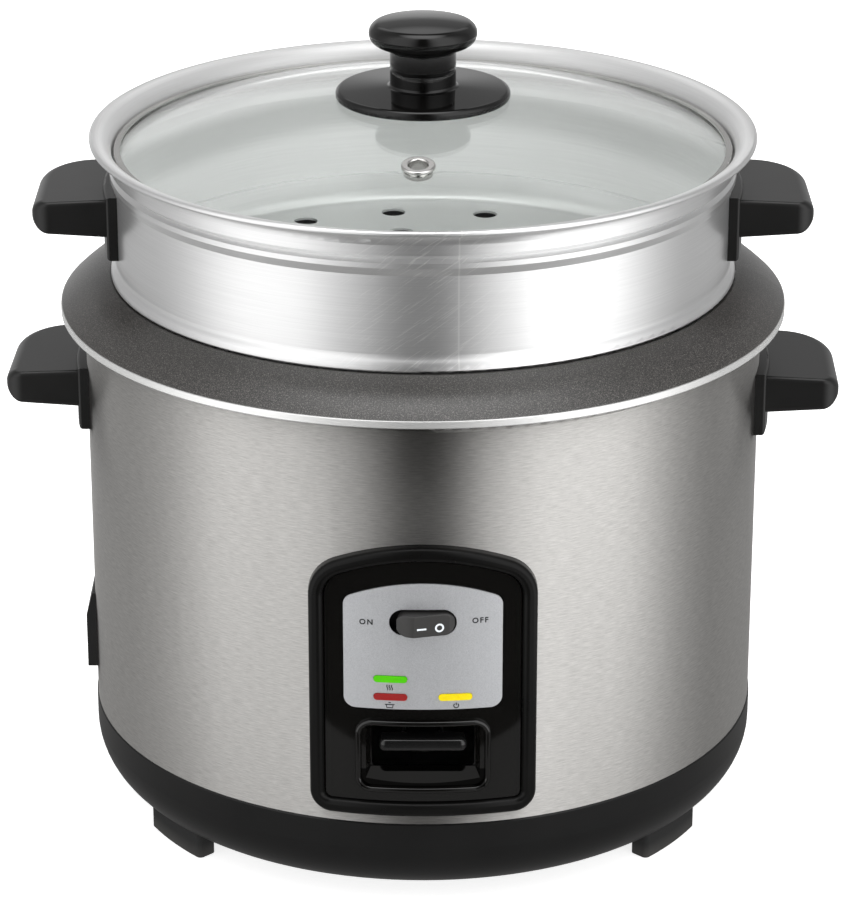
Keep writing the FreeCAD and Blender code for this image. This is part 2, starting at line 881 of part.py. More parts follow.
sensor_top = plate_top - S.sensor_gap
sensor_bottom = sensor_top - S.sensor_height
sensor_inner = S.sensor_radius - S.sensor_wall
flange_radius = S.sensor_radius + S.sensor_flange
keep(turned("sensor_cap", [
    (sensor_inner, sensor_bottom),
    (flange_radius, sensor_bottom),
    (flange_radius, sensor_bottom + S.sensor_flange_thickness),
    (S.sensor_radius, sensor_bottom + S.sensor_flange_thickness),
    (S.sensor_radius, sensor_top - S.sensor_wall),
    (S.sensor_radius - S.sensor_wall, sensor_top),
    (0, sensor_top),
    (0, sensor_top - S.sensor_crown),
    (sensor_inner, sensor_top - S.sensor_crown),
]))
ferrite_top = sensor_top - S.sensor_crown
ferrite_bottom = ferrite_top - S.ferrite_thickness
keep(rod("sensor_ferrite", S.ferrite_radius, "z", (0, 0, ferrite_bottom), S.ferrite_thickness))

cup_floor = sensor_bottom - S.spring_length
cup_bottom = cup_floor - S.cup_wall
keep(turned("sensor_cup", [
    (S.rod_radius + S.rod_room, cup_bottom),
    (S.cup_radius + S.cup_wall, cup_bottom),
    (S.cup_radius + S.cup_wall, shell_bottom - S.cup_wall),
    (S.cup_radius + S.cup_wall + S.cup_flange, shell_bottom - S.cup_wall),
    (S.cup_radius + S.cup_wall + S.cup_flange, shell_bottom),
    (S.cup_radius, shell_bottom),
    (S.cup_radius, cup_floor),
    (S.rod_radius + S.rod_room, cup_floor),
]))

coil = doc.addObject("Part::Helix", "spring_path")
bind(coil, "Radius", S.spring_radius)
bind(coil, "Pitch", S.spring_pitch)
bind(coil, "Height", S.spring_length - S.spring_wire - S.spring_room * 2)
bind(coil, "Placement.Base.z", cup_floor + S.spring_room + S.spring_wire / 2)
wire = doc.addObject("Part::Circle", "spring_wire_section")
wire.Placement = FreeCAD.Placement(FreeCAD.Vector(), AXES["y"])
bind(wire, "Radius", S.spring_wire / 2)
bind(wire, "Placement.Base.x", S.spring_radius)
bind(wire, "Placement.Base.z", cup_floor + S.spring_room + S.spring_wire / 2)
spring = doc.addObject("Part::Sweep", "sensor_spring")
spring.Sections = [wire]
spring.Spine = (coil, ["Edge1"])
spring.Solid = True
spring.Frenet = True
keep(spring)

magnet_top = ferrite_bottom - S.magnet_gap
magnet_bottom = magnet_top - S.magnet_thickness
keep(rod("lift_magnet", S.magnet_radius, "z", (0, 0, magnet_bottom), S.magnet_thickness))
upper_collar = cup_bottom - S.rod_travel_room
fork_high = upper_collar - S.collar_thickness
fork_low = fork_high - S.collar_gap
keep(turned("magnet_rod", [
    (0, fork_low - S.collar_thickness),
    (S.collar_radius, fork_low - S.collar_thickness),
    (S.collar_radius, fork_low),
    (S.rod_radius, fork_low),
    (S.rod_radius, fork_high),
    (S.collar_radius, fork_high),
    (S.collar_radius, upper_collar),
    (S.rod_radius, upper_collar),
    (S.rod_radius, magnet_bottom),
    (0, magnet_bottom),
]))


# Cook lever: finger pad in front, a step down behind it, and a fork between the rod's collars

arm_low = (fork_low + fork_high) / 2 - S.lever_thickness / 2
arm_high = arm_low + S.lever_thickness
pivot_y = -S.lever_pivot_reach
pivot_z = arm_low + S.lever_thickness / 2 + S.lever_pivot_rise
pad_front = -(sleeve_radius + S.lever_proud)
pad_back = pad_front + S.lever_pad_depth
pad_z = lever_z - S.lever_pad_drop
front_arm = (lever_z - S.lever_thickness / 2, lever_z + S.lever_thickness / 2)
lever_width = (-S.lever_half_width, S.lever_half_width)
riser_back = pivot_y - S.lever_hub_radius + S.lever_thickness / 2
riser_front = riser_back - S.lever_thickness
ear_inner = S.lever_half_width + S.bracket_room
ear_outer = ear_inner + S.bracket_wall
hub_half = ear_inner - S.lever_hub_room

lever_pad = rounded("lever_pad", box("lever_pad_block", (-S.lever_pad_half, S.lever_pad_half),
                                     (pad_front, pad_back),
                                     (pad_z - S.lever_pad_height / 2, pad_z + S.lever_pad_height / 2)),
                    lambda edge: (S.lever_pad_round.value,) * 2)
lever_blank = fuse(
    "lever_blank", lever_pad,
    box("lever_front_arm", lever_width, (pad_back - S.lever_pad_round, riser_back), front_arm),
    box("lever_riser", lever_width, (riser_front, riser_back), (arm_low, front_arm[1])),
    rod("lever_hub", S.lever_hub_radius, "x", (-hub_half, pivot_y, pivot_z), hub_half * 2),
    box("lever_rear_arm", lever_width, (riser_front, -S.rod_radius - S.lever_thickness), (arm_low, arm_high)),
    box("lever_fork", (-S.lever_fork_half, S.lever_fork_half),
        (-S.lever_fork_half - S.lever_thickness, S.lever_fork_reach), (arm_low, arm_high)),
)
fork_half = S.rod_radius + S.lever_fork_room
keep(cut(
    "cook_lever", lever_blank,
    rod("lever_bore", S.pin_radius + S.pin_room, "x", (-hub_half, pivot_y, pivot_z), hub_half * 2),
    rod("lever_fork_end", fork_half + S.lever_fork_room, "z", (0, 0, arm_low), S.lever_thickness),
    box("lever_fork_slot", (-fork_half, fork_half), (0, S.lever_fork_reach), (arm_low, arm_high)),
))

pin_half = ear_outer + S.bracket_wall
keep(rod("lever_pin", S.pin_radius, "x", (-pin_half, pivot_y, pivot_z), pin_half * 2))
bracket_depth = (pivot_y - S.bracket_half_depth, pivot_y + S.bracket_half_depth)
bracket_height = (pivot_z - S.bracket_foot, shell_bottom)
wing = ear_outer + S.bracket_wing
keep(cut(
    "lever_bracket",
    fuse("bracket_blank",
         box("bracket_left_ear", (-ear_outer, -ear_inner), bracket_depth, bracket_height),
         box("bracket_right_ear", (ear_inner, ear_outer), bracket_depth, bracket_height),
         box("bracket_top", (-wing, wing), bracket_depth, (shell_bottom - S.bracket_wall, shell_bottom))),
    rod("bracket_bore", S.pin_radius, "x", (-pin_half, pivot_y, pivot_z), pin_half * 2),
    rivet_holes,
))
rivet_seat = shell_bottom - S.bracket_wall
keep(group("bracket_rivets", [
    fuse(f"bracket_rivet_{hand}",
         rod(f"bracket_rivet_shank_{hand}", S.screw_radius, "z", (hand * rivet_x, pivot_y, rivet_seat),
             S.bracket_wall + S.shell_wall),
         rod(f"bracket_rivet_head_{hand}", S.screw_head_radius, "z",
             (hand * rivet_x, pivot_y, rivet_seat - S.screw_head), S.screw_head))
    for hand in (-1, 1)]))
micro_z = (lever_z - S.micro_height - S.lever_thickness, lever_z - S.lever_thickness)
micro_out = ear_outer + S.micro_width
blades = [
    box(f"micro_blade_{hand}", (micro_out, micro_out + S.blade_length),
        (pivot_y + hand * S.blade_width - S.blade_width / 2, pivot_y + hand * S.blade_width
         + S.blade_width / 2),
        (micro_z[0] + S.micro_height / 2, micro_z[0] + S.micro_height / 2 + S.blade_thickness))
    for hand in (-1, 1)]
keep(fuse("micro_switch",
          box("micro_body", (ear_outer, micro_out),
              (pivot_y - S.micro_length / 2, pivot_y + S.micro_length / 2), micro_z), *blades))


# Thermostat and fuse clipped under the shell floor

keep(rod("warm_thermostat", S.thermostat_radius, "z",
         (-S.thermostat_x, S.thermostat_y, shell_bottom - S.thermostat_height), S.thermostat_height))
keep(rod("thermal_fuse", S.fuse_radius, "x", (S.fuse_x, S.thermostat_y, shell_bottom - S.fuse_radius),
         S.fuse_length))


# Control panel: satin bezel, gloss face with the lever recess, silver badge plate

bezel_sharp = curved("bezel_sharp", sleeve_radius, sleeve_radius + S.bezel_depth,
                     panel_outline(0, S.panel_corner),
                     panel_outline(S.bezel_width, S.panel_corner - S.bezel_width))
keep(rounded("panel_bezel", bezel_sharp,
             lambda edge: (S.bezel_round.value,) * 2
             if on_radius(edge, sleeve_radius + S.bezel_depth) else None))

rocker_z = panel_bottom + S.rocker_rise
lamp_low = panel_bottom + S.lamp_rise
lamp_high = lamp_low + S.lamp_pitch
LAMPS = {
    "warm_lamp": (-S.lamp_spread, lamp_high),
    "cook_lamp": (-S.lamp_spread, lamp_low),
    "power_lamp": (S.lamp_spread, lamp_low),
}
recess_low = panel_bottom + S.recess_rise
recess_high = recess_low + S.recess_height
recess_lip_radius = face_radius + S.recess_lip_proud
recess_back = S.recess_depth - sleeve_radius
mouth_half = S.recess_half + S.recess_flare
mouth_front = -(recess_lip_radius + S.recess_lip)
face_inset = S.bezel_width + S.bezel_groove

face_plate_blank = curved("face_blank", sleeve_radius, face_radius,
                          panel_outline(face_inset, S.panel_corner - face_inset))
recess_lip = rounded(
    "recess_lip",
    curved("recess_lip_sharp", sleeve_radius, recess_lip_radius,
           round_rect(mouth_half + S.recess_lip, recess_low - S.recess_lip, recess_high + S.recess_lip,
                      S.recess_corner + S.recess_lip),
           round_rect(mouth_half, recess_low, recess_high, S.recess_corner)),
    lambda edge: (S.recess_lip_round.value,) * 2 if on_radius(edge, recess_lip_radius) else None)
recess_block = common(
    "recess_block",
    box("recess_box", (-mouth_half - S.recess_wall, mouth_half + S.recess_wall),
        (-face_radius, recess_back + S.recess_wall),
        (recess_low - S.recess_wall, recess_high + S.recess_wall)),
    rod("recess_limit", face_radius, "z", (0, 0, base_bottom), sleeve_top))
ramp = prism("recess_ramp", "YZ_Plane", [[
    (mouth_front, recess_low),
    (-recess_lip_radius, recess_low),
    (recess_back, recess_low + S.ramp_rise),
    (recess_back, recess_high - S.roof_drop),
    (-recess_lip_radius, recess_high),
    (mouth_front, recess_high),
]], -mouth_half, mouth_half * 2)
funnel = prism("recess_funnel", "XY_Plane", [[
    (-mouth_half, mouth_front),
    (mouth_half, mouth_front),
    (mouth_half, -recess_lip_radius),
    (S.recess_half, recess_back),
    (-S.recess_half, recess_back),
    (-mouth_half, -recess_lip_radius),
]], recess_low, S.recess_height)
recess_room = common("recess_room", common("recess_ramped", ramp, funnel),
                     front_prism("recess_front", round_rect(mouth_half, recess_low, recess_high,
                                                            S.recess_corner)))
lever_slot = front_prism("lever_slot", round_rect(S.slot_half, recess_low + S.ramp_rise,
                                                  recess_high - S.roof_drop, S.slot_corner))
lamp_holes = front_prism("lamp_holes", *[
    stadium(x, z, S.lamp_half + S.lamp_room, S.lamp_half_height + S.lamp_room) for x, z in LAMPS.values()])
switch_half = S.rocker_slot_half + S.switch_swing
switch_half_height = S.rocker_half_height + S.switch_room
rocker_opening = front_prism("rocker_opening", stadium(as_size(0), rocker_z, switch_half,
                                                       S.rocker_slot_half_height + S.switch_room))
keep(cut("panel_face", fuse("face_with_recess", face_plate_blank, recess_lip, recess_block),
         recess_room, lever_slot, lamp_holes, rocker_opening))

badge_low = panel_bottom + S.badge_rise
badge_blank = curved("badge_blank", face_radius, badge_radius,
                     arched(S.badge_half, badge_low, badge_low + S.badge_height, S.badge_crown,
                            S.badge_corner, S.badge_corner))
rocker_slot = front_prism("rocker_slot", stadium(as_size(0), rocker_z, S.rocker_slot_half,
                                                 S.rocker_slot_half_height))
keep(cut("badge_plate", badge_blank, lamp_holes, rocker_slot))

lens_back = sleeve_radius - S.lamp_depth
for label, (x, z) in LAMPS.items():
    lens = prism(label + "_lens", "XZ_Plane", [stadium(x, z, S.lamp_half, S.lamp_half_height)], lens_back,
                 front_length)
    limit = rod(label + "_limit", badge_radius + S.lamp_proud, "z", (0, 0, base_bottom), sleeve_top)
    keep(common(label, lens, limit))
board_half = S.lamp_spread + S.lamp_half + S.board_margin
keep(box("lamp_board", (-board_half, board_half), (-lens_back, S.board_thickness - lens_back),
         (lamp_low - S.lamp_half_height - S.board_margin, lamp_high + S.lamp_half_height + S.board_margin)))


# Power rocker on its two trunnions, in the switch body behind the face

rocker_pivot = S.rocker_pivot_depth - badge_radius
curve_centre = S.rocker_curve - S.rocker_crown - badge_radius


def rocker_point(angle, *radius):
    return (S.rocker_curve * sine(angle), curve_centre - S.rocker_curve * cosine(angle), *radius)


def rocker_radii(edge):
    """Rounds the outline of the rocker's front, and leaves the crease between its two fronts."""
    upright = edge.BoundBox.ZLength > S.rocker_half_height.value * 1.9
    in_front = edge.CenterOfMass.y < -badge_radius.value
    return (S.rocker_edge.value,) * 2 if in_front and not upright else None


rocker_back = rocker_pivot + S.rocker_tail
rocker_prism = prism("rocker_prism", "XY_Plane", [[
    (-S.rocker_tail_half, rocker_back),
    rocker_point(-S.rocker_left),
    rocker_point(S.rocker_facet_start, S.rocker_curve),
    rocker_point(S.rocker_facet_end),
    rocker_point(S.rocker_right, S.rocker_curve),
    (S.rocker_tail_half, rocker_back),
]], rocker_z - S.rocker_half_height, S.rocker_half_height * 2)
rocker_ends = front_prism("rocker_ends", stadium(S.rocker_shift, rocker_z, S.rocker_half,
                                                 S.rocker_half_height))
rocker_soft = rounded("rocker_soft", common("rocker_block", rocker_prism, rocker_ends), rocker_radii)
trunnion_half = S.rocker_half_height + S.rocker_pin_reach
keep(fuse("power_rocker", rocker_soft,
          rod("rocker_trunnions", S.rocker_pin_radius, "z", (0, rocker_pivot, rocker_z - trunnion_half),
              trunnion_half * 2)))

switch_back = -(shell_outer + S.switch_back_gap)
switch_outer = switch_half + S.switch_wall
bore_half = trunnion_half + S.trunnion_end_room
switch_height = switch_half_height + S.switch_wall
switch_block = common(
    "switch_block",
    box("switch_box", (-switch_outer, switch_outer), (-sleeve_radius, switch_back),
        (rocker_z - switch_height, rocker_z + switch_height)),
    rod("switch_limit", sleeve_radius, "z", (0, 0, base_bottom), sleeve_top))
keep(cut(
    "switch_body", switch_block,
    box("switch_room_cut", (-switch_half, switch_half), (-face_radius, switch_back - S.switch_floor),
        (rocker_z - switch_half_height, rocker_z + switch_half_height)),
    rod("trunnion_bores", S.rocker_pin_radius + S.pin_room, "z", (0, rocker_pivot, rocker_z - bore_half),
        bore_half * 2)))


# Handles: one moulding with an ear and a plate that hugs the wall, used four times

def handle(label, wall, top, screw_height, screw_radius, side):
    tip = wall + S.handle_reach
    low = top - S.handle_root
    tip_high = top - S.handle_droop
    tip_low = tip_high - S.handle_tip
    at_right = side < 90
    ends = (S.handle_front_depth, S.handle_back_depth)
    minus_y, plus_y = ends if at_right else reversed(ends)
    ear_sharp = prism(label + "_ear_sharp", "XZ_Plane", [[
        (wall - S.handle_plate, low),
        (tip, tip_low),
        (tip, tip_high),
        (wall - S.handle_plate, top),
    ]], -plus_y, plus_y + minus_y)

    def plan_radii(edge):
        spot = edge.CenterOfMass
        if spot.x < tip.value - 0.01 or edge.BoundBox.YLength > 0.01:
            return None
        in_front = (spot.y < 0) == at_right
        return ((S.handle_front_corner if in_front else S.handle_back_corner).value,) * 2

    ear_plan = rounded(label + "_ear_plan", ear_sharp, plan_radii)

    def edge_radii(edge, tip_radius):
        ends = [vertex.Point for vertex in (edge.firstVertex(True), edge.lastVertex(True))]
        side_radius = S.handle_side_edge.value
        near_tip = [abs(point.x - tip.value) < 0.01 for point in ends]
        return tuple(tip_radius.value if near else side_radius for near in near_tip)

    def ear_radii(edge):
        box_of = edge.BoundBox
        if abs(edge.tangentAt(edge.FirstParameter).z) > 0.9 or box_of.XMax < wall.value:
            return None
        upper = edge.CenterOfMass.z > (tip_high.value + tip_low.value) / 2
        return edge_radii(edge, S.handle_tip_top if upper else S.handle_tip_bottom)

    ear = rounded(label + "_ear", ear_plan, ear_radii)
    plate_ends = (-minus_y - S.handle_plate_margin, plus_y + S.handle_plate_margin)
    plate_high = top + S.handle_plate_rise
    plate_low = plate_high - S.handle_plate_height
    plate_sharp = common(
        label + "_plate_sharp",
        box(label + "_plate_box", (wall - S.handle_plate * 2, tip), plate_ends,
            (plate_low, plate_high)),
        tube(label + "_plate_layer", wall, wall + S.handle_plate, plate_low, plate_high))
    plate = rounded(label + "_plate", plate_sharp,
                    lambda edge: (S.handle_plate_round.value,) * 2
                    if on_radius(edge, wall + S.handle_plate) else None)
    wall_core = rod(label + "_wall", wall, "z", (0, 0, plate_low - S.handle_root), S.handle_plate_height * 2)
    holes = side_drills(label + "_holes", wall - S.handle_plate, S.screw_reach + S.handle_plate, screw_radius,
                        screw_height)
    blank = cut(label + "_blank", fuse(label + "_joined", ear, plate), wall_core, holes)
    return turn_about_z(group(label, [blank]), side)


for hand, side in BODY_HANDLE_SIDES.items():
    keep(handle(f"body_handle_{hand}", sleeve_radius, handle_top, screw_z, S.screw_radius, side))


def side_fasteners(label, seat, reach, radius, head_radius, head, height, sides):
    """Fasteners put in from inside a round wall, two for each handle."""
    made = []
    for index, side in enumerate(sides.values()):
        for hand in (-1, 1):
            name = f"{label}_{index}_{'a' if hand < 0 else 'b'}"
            shank = rod(name + "_shank", radius, "x", (seat, 0, height), reach)
            cap = rod(name + "_head", head_radius, "x", (seat - head, 0, height), head)
            made.append(turn_about_z(fuse(name, shank, cap), side + hand * S.screw_azimuth.value))
    return keep(group(label, made))


def flat_seat(wall, head_radius):
    """Where a flat head inside a round wall meets it at the head's edge."""
    return root_of(wall * wall - head_radius * head_radius)


screw_seat = flat_seat(sleeve_inner, S.screw_head_radius)
side_fasteners("handle_screws", screw_seat, sleeve_radius + S.screw_reach - screw_seat, S.screw_radius,
               S.screw_head_radius, S.screw_head, screw_z, BODY_HANDLE_SIDES)


# Mains inlet: a sloped hood on the left side with a socket and three prongs

inlet_face = -(sleeve_radius + S.inlet_proud)
hood = prism("inlet_hood", "XZ_Plane", [[
    (inlet_face, inlet_bottom),
    (S.inlet_wall - sleeve_radius, inlet_bottom),
    (S.inlet_wall - sleeve_radius, inlet_top),
    (-sleeve_radius, inlet_top),
    (inlet_face, inlet_bottom + S.inlet_front_height),
]], -S.inlet_half, S.inlet_half * 2)
hood_fitted = cut("inlet_hood_fitted", hood,
                  rod("inlet_wall_core", sleeve_radius, "z", (0, 0, base_bottom), sleeve_top))
socket_back = S.inlet_depth - S.inlet_back - sleeve_radius
socket_half = inlet_core_half - S.inlet_wall
socket_low = inlet_core_low + S.inlet_wall
socket_high = inlet_bottom + S.inlet_front_height - S.inlet_wall
prong_z = (socket_low + socket_high) / 2
prong_start = socket_back - S.prong_length
prong_length = S.prong_length + S.inlet_back + S.prong_tail


def prong(name, y):
    return rod(name, S.prong_radius, "x", (prong_start, y, prong_z), prong_length)


PRONG_STEPS = (-1, 0, 1)
keep(cut("mains_inlet", fuse("inlet_blank", hood_fitted, box("inlet_core", *inlet_core_box)),
         box("inlet_socket", (inlet_face - S.inlet_wall, socket_back), (-socket_half, socket_half),
             (socket_low, socket_high)),
         *[prong(f"prong_hole_{step}", step * S.pin_spacing) for step in PRONG_STEPS]))
keep(group("inlet_prongs", [prong(f"prong_{step}", step * S.pin_spacing) for step in PRONG_STEPS]))


# Inner pot: deep-drawn bowl whose rolled rim slopes out to a bare lip above the sleeve

roll_x = pot_inner + S.rim_roll
lip_high = pot_lip + S.lip_edge
keep(turned("inner_pot", [
    (0, pot_bottom),
    (S.pot_radius - S.pot_corner, pot_bottom),
    (S.pot_radius, pot_bottom + S.pot_corner, S.pot_corner),
    (S.pot_radius, pot_top - S.rim_roll),
    (roll_x, pot_top - S.pot_wall, S.pot_wall - S.rim_roll),
    (S.lip_radius - S.pot_wall, pot_lip, S.pot_wall - S.rim_curve),
    (S.lip_radius, pot_lip),
    (S.lip_radius, lip_high - S.lip_round),
    (S.lip_radius - S.lip_round, lip_high, S.lip_round),
    (roll_x, pot_top, S.rim_curve),
    (pot_inner, pot_top - S.rim_roll, S.rim_roll),
    (pot_inner, pot_bottom + S.pot_corner),
    (S.pot_radius - S.pot_corner, pot_bottom + S.pot_wall, S.pot_wall - S.pot_corner),
    (0, pot_bottom + S.pot_wall),
]))


# Steamer basket: pierced floor, a foot bead that sits on the pot, and a flared rolled rim

steamer_low = pot_inner - S.steamer_room
steamer_floor = pot_top - S.steamer_drop
bead_low = pot_top + S.seat_gap
bead_high = bead_low + S.bulge_height
bead_radius = steamer_low + S.bulge_step
wall_radius = steamer_low + S.wall_step
bulge_low = bead_low + S.bulge_foot
bulge_out = bead_radius - wall_radius
bulge_rise = bead_high - bulge_low
bulge_sum = (bulge_out * bulge_out + bulge_rise * bulge_rise) / (bulge_out * 2)
bulge_share = S.bulge_round / bulge_sum
wall_high = bead_high + S.steamer_straight
neck_radius = wall_radius + S.shoulder_step
shoulder_high = wall_high + S.shoulder_height
groove_low = shoulder_high + S.collar_height
groove_mid = groove_low + S.groove_height / 2
groove_high = groove_low + S.groove_height
flare_low = groove_high + S.neck_height
flare_x = neck_radius + S.flare_radius
flare_high = flare_low + S.flare_radius + S.steamer_wall
inside = S.steamer_wall
basket_turned = turned("basket_turned", [
    (0, steamer_floor),
    (steamer_low - S.steamer_corner, steamer_floor),
    (steamer_low, steamer_floor + S.steamer_corner, S.steamer_corner),
    (steamer_low, bead_low),
    (bead_radius - S.bulge_foot, bead_low),
    (bead_radius, bulge_low, S.bulge_foot),
    (bead_radius - bulge_out * bulge_share, bulge_low + bulge_rise * bulge_share, S.bulge_round),
    (wall_radius, bead_high, S.bulge_round - bulge_sum),
    (wall_radius, wall_high),
    (neck_radius, shoulder_high),
    (neck_radius, groove_low),
    (neck_radius - S.groove_depth, groove_mid),
    (neck_radius, groove_high),
    (neck_radius, flare_low),
    (flare_x, flare_high - inside, -S.flare_radius),
    (flare_x, flare_high - S.rim_bead * 2),
    (flare_x + S.rim_bead, flare_high - S.rim_bead, S.rim_bead),
    (flare_x, flare_high, S.rim_bead),
    (neck_radius - inside, flare_low, S.flare_radius + inside),
    (neck_radius - inside, groove_high),
    (neck_radius - inside - S.groove_depth, groove_mid),
    (neck_radius - inside, groove_low),
    (neck_radius - inside, shoulder_high),
    (wall_radius - inside, wall_high),
    (wall_radius - inside, bead_low + inside),
    (steamer_low - inside, bead_low + inside),
    (steamer_low - inside, steamer_floor + S.steamer_corner),
    (steamer_low - S.steamer_corner, steamer_floor + inside, inside - S.steamer_corner),
    (0, steamer_floor + inside),
])
HOLE_COUNTS = (16, 12, 8, 4)
for index, count in enumerate(HOLE_COUNTS):
    radius = S.hole_ring - index * S.hole_ring_step
    ring_of_holes(basket_turned, f"steam_holes_{index}",
                  (radius * cosine(S.hole_turn), radius * sine(S.hole_turn), S.hole_radius), count)
steamer_handle_top = flare_high - S.steamer_handle_drop
rivet_z = steamer_handle_top - S.screw_drop
rivet_seat_radius = flat_seat(wall_radius - inside, S.rivet_head_radius)
keep(cut("steamer_basket", basket_turned,
         side_drills("basket_rivet_holes", rivet_seat_radius, S.rivet_head * 2, S.rivet_radius, rivet_z,
                     HANDLE_SIDES.values())))
for hand, side in HANDLE_SIDES.items():
    keep(handle(f"steamer_handle_{hand}", wall_radius, steamer_handle_top, rivet_z, S.rivet_radius, side))
side_fasteners("steamer_rivets", rivet_seat_radius, wall_radius + S.screw_reach - rivet_seat_radius,
               S.rivet_radius, S.rivet_head_radius, S.rivet_head, rivet_z, HANDLE_SIDES)


# Lid: domed glass in a folded steel band, resting on the ridge inside the steamer's neck

lid_radius = neck_radius - inside - S.lid_room
ridge_radius = neck_radius - inside - S.groove_depth
ridge_slope = S.groove_height / 2 / S.groove_depth
lid_bottom = groove_mid + (lid_radius - ridge_radius) * ridge_slope + S.lid_seat_gap
lid_band_high = lid_bottom + S.lid_band_height
band_wall = S.lid_band_wall
keep(turned("lid_rim", [
    (lid_radius - S.lid_band_width, lid_bottom),
    (lid_radius, lid_bottom),
    (lid_radius, lid_band_high - band_wall),
    (lid_radius - band_wall, lid_band_high, band_wall),
    (lid_radius - S.lid_band_width, lid_band_high),
    (lid_radius - S.lid_band_width, lid_band_high - band_wall),
    (lid_radius - band_wall, lid_band_high - band_wall),
    (lid_radius - band_wall, lid_bottom + band_wall),
    (lid_radius - S.lid_band_width, lid_bottom + band_wall),
]))

glass_edge = lid_radius - band_wall - S.glass_room
under_curve = S.glass_curve - S.glass_thickness
dome_centre = lid_bottom + band_wall + S.glass_room - root_of(under_curve * under_curve
                                                              - glass_edge * glass_edge)


def dome(curve, radius):
    """Height of a dome surface at a distance from the axis."""
    return dome_centre + root_of(curve * curve - radius * radius)


glass_turned = turned("glass_turned", [
    (S.glass_hole, dome(under_curve, S.glass_hole)),
    (glass_edge, dome(under_curve, glass_edge), -under_curve),
    (glass_edge, dome(S.glass_curve, glass_edge)),
    (S.glass_hole, dome(S.glass_curve, S.glass_hole), S.glass_curve),
])
vent_tilt = math.degrees(math.asin(S.vent_offset.value / S.glass_curve.value))
vent_rotation = FreeCAD.Rotation(FreeCAD.Vector(0, 0, 1), S.vent_turn.value).multiply(
    FreeCAD.Rotation(FreeCAD.Vector(1, 0, 0), vent_tilt))
vent_place = FreeCAD.Placement(
    vent_rotation.multVec(FreeCAD.Vector(0, 0, S.glass_curve.value))
    + FreeCAD.Vector(0, 0, dome_centre.value), vent_rotation)
vent_bore = group("vent_bore", [rod("vent_drill", S.eyelet_neck, "z", (0, 0, -S.glass_thickness * 2),
                                    S.glass_thickness * 4)])
vent_bore.Placement = vent_place
keep(cut("lid_glass", glass_turned, vent_bore))

glass_under = -S.glass_thickness - S.glass_room
lower_flange = (S.eyelet_neck + S.eyelet_radius) / 2
eyelet_half = S.eyelet_flange / 2
eyelet = turned("eyelet_turned", [
    (S.eyelet_bore, glass_under - S.eyelet_tail),
    (lower_flange, glass_under - S.eyelet_tail),
    (lower_flange, glass_under),
    (S.eyelet_neck, glass_under),
    (S.eyelet_neck, S.glass_room),
    (S.eyelet_radius, S.glass_room),
    (S.eyelet_radius, S.glass_room + eyelet_half),
    (S.eyelet_radius - eyelet_half, S.glass_room + S.eyelet_flange, eyelet_half),
    (S.eyelet_bore + eyelet_half, S.glass_room + S.eyelet_flange),
    (S.eyelet_bore, S.glass_room + eyelet_half, eyelet_half),
])
steam_eyelet = keep(group("steam_eyelet", [eyelet]))
steam_eyelet.Placement = vent_place


# Knob in two mouldings with a parting groove, held by one screw through the glass

knob_foot = S.knob_base_radius - S.knob_foot_round
foot_z = dome(S.glass_curve, knob_foot) + S.glass_room
parting_z = foot_z + S.knob_parting
neck = S.knob_neck_radius
edge_round = S.knob_base_edge / 2
keep(turned("knob_base", [
    (S.knob_screw_radius, dome(S.glass_curve, S.knob_screw_radius) + S.glass_room),
    (knob_foot, foot_z, -S.glass_curve),
    (S.knob_base_radius, foot_z + S.knob_foot_round, S.knob_foot_round),
    (S.knob_base_radius, foot_z + S.knob_base_edge - edge_round),
    (S.knob_base_radius - edge_round, foot_z + S.knob_base_edge, edge_round),
    (neck + S.knob_neck_fillet, foot_z + S.knob_base_rise),
    (neck, foot_z + S.knob_base_rise + S.knob_neck_fillet, -S.knob_neck_fillet),
    (neck, parting_z - S.knob_groove),
    (neck - S.knob_groove, parting_z),
    (S.knob_screw_radius, parting_z),
]))
knob_top = parting_z + S.knob_height
knob_flat = S.knob_radius - S.knob_top_round
crown_reach = S.knob_crown_curve - S.knob_top_round
crown_drop = root_of(crown_reach * crown_reach - knob_flat * knob_flat)
edge_z = knob_top - S.knob_crown_curve + crown_drop
under_z = edge_z - S.knob_under_round
screw_end = parting_z + S.knob_screw_reach
keep(turned("knob_grip", [
    (S.knob_screw_radius, parting_z),
    (neck - S.knob_groove, parting_z),
    (neck, parting_z + S.knob_groove),
    (neck, under_z - S.knob_flare),
    (neck + S.knob_flare, under_z, -S.knob_flare),
    (S.knob_radius - S.knob_under_round, under_z),
    (S.knob_radius, edge_z, S.knob_under_round),
    (knob_flat * S.knob_crown_curve / crown_reach, edge_z + S.knob_top_round * crown_drop / crown_reach,
     S.knob_top_round),
    (0, knob_top, S.knob_crown_curve),
    (0, screw_end),
    (S.knob_screw_radius, screw_end),
]))
washer_top = dome(under_curve, S.washer_radius)
washer_bottom = washer_top - S.washer_thickness
keep(tube("knob_washer", S.knob_screw_radius, S.washer_radius, washer_bottom, washer_top))
keep(turned("knob_screw", [
    (0, washer_bottom - S.knob_screw_head),
    (S.knob_screw_head_radius - S.knob_groove, washer_bottom - S.knob_screw_head),
    (S.knob_screw_head_radius, washer_bottom - S.knob_screw_head + S.knob_groove, S.knob_groove),
    (S.knob_screw_head_radius, washer_bottom),
    (S.knob_screw_radius, washer_bottom),
    (S.knob_screw_radius, screw_end),
    (0, screw_end),
]))

# Every object is sound before anything is written

doc.recompute()
for item in doc.Objects:
    if {"Invalid", "Error"} & set(item.State):
        raise RuntimeError(f"{item.Label} failed: {item.State}")
for item in pieces:
    if item.Shape.isNull() or not item.Shape.isValid():
        raise RuntimeError(f"{item.Label} has no sound shape")

os.makedirs("parts", exist_ok=True)
for item in pieces:
    item.Shape.exportStep(f"parts/{item.Label}.step")
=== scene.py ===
import json
import math

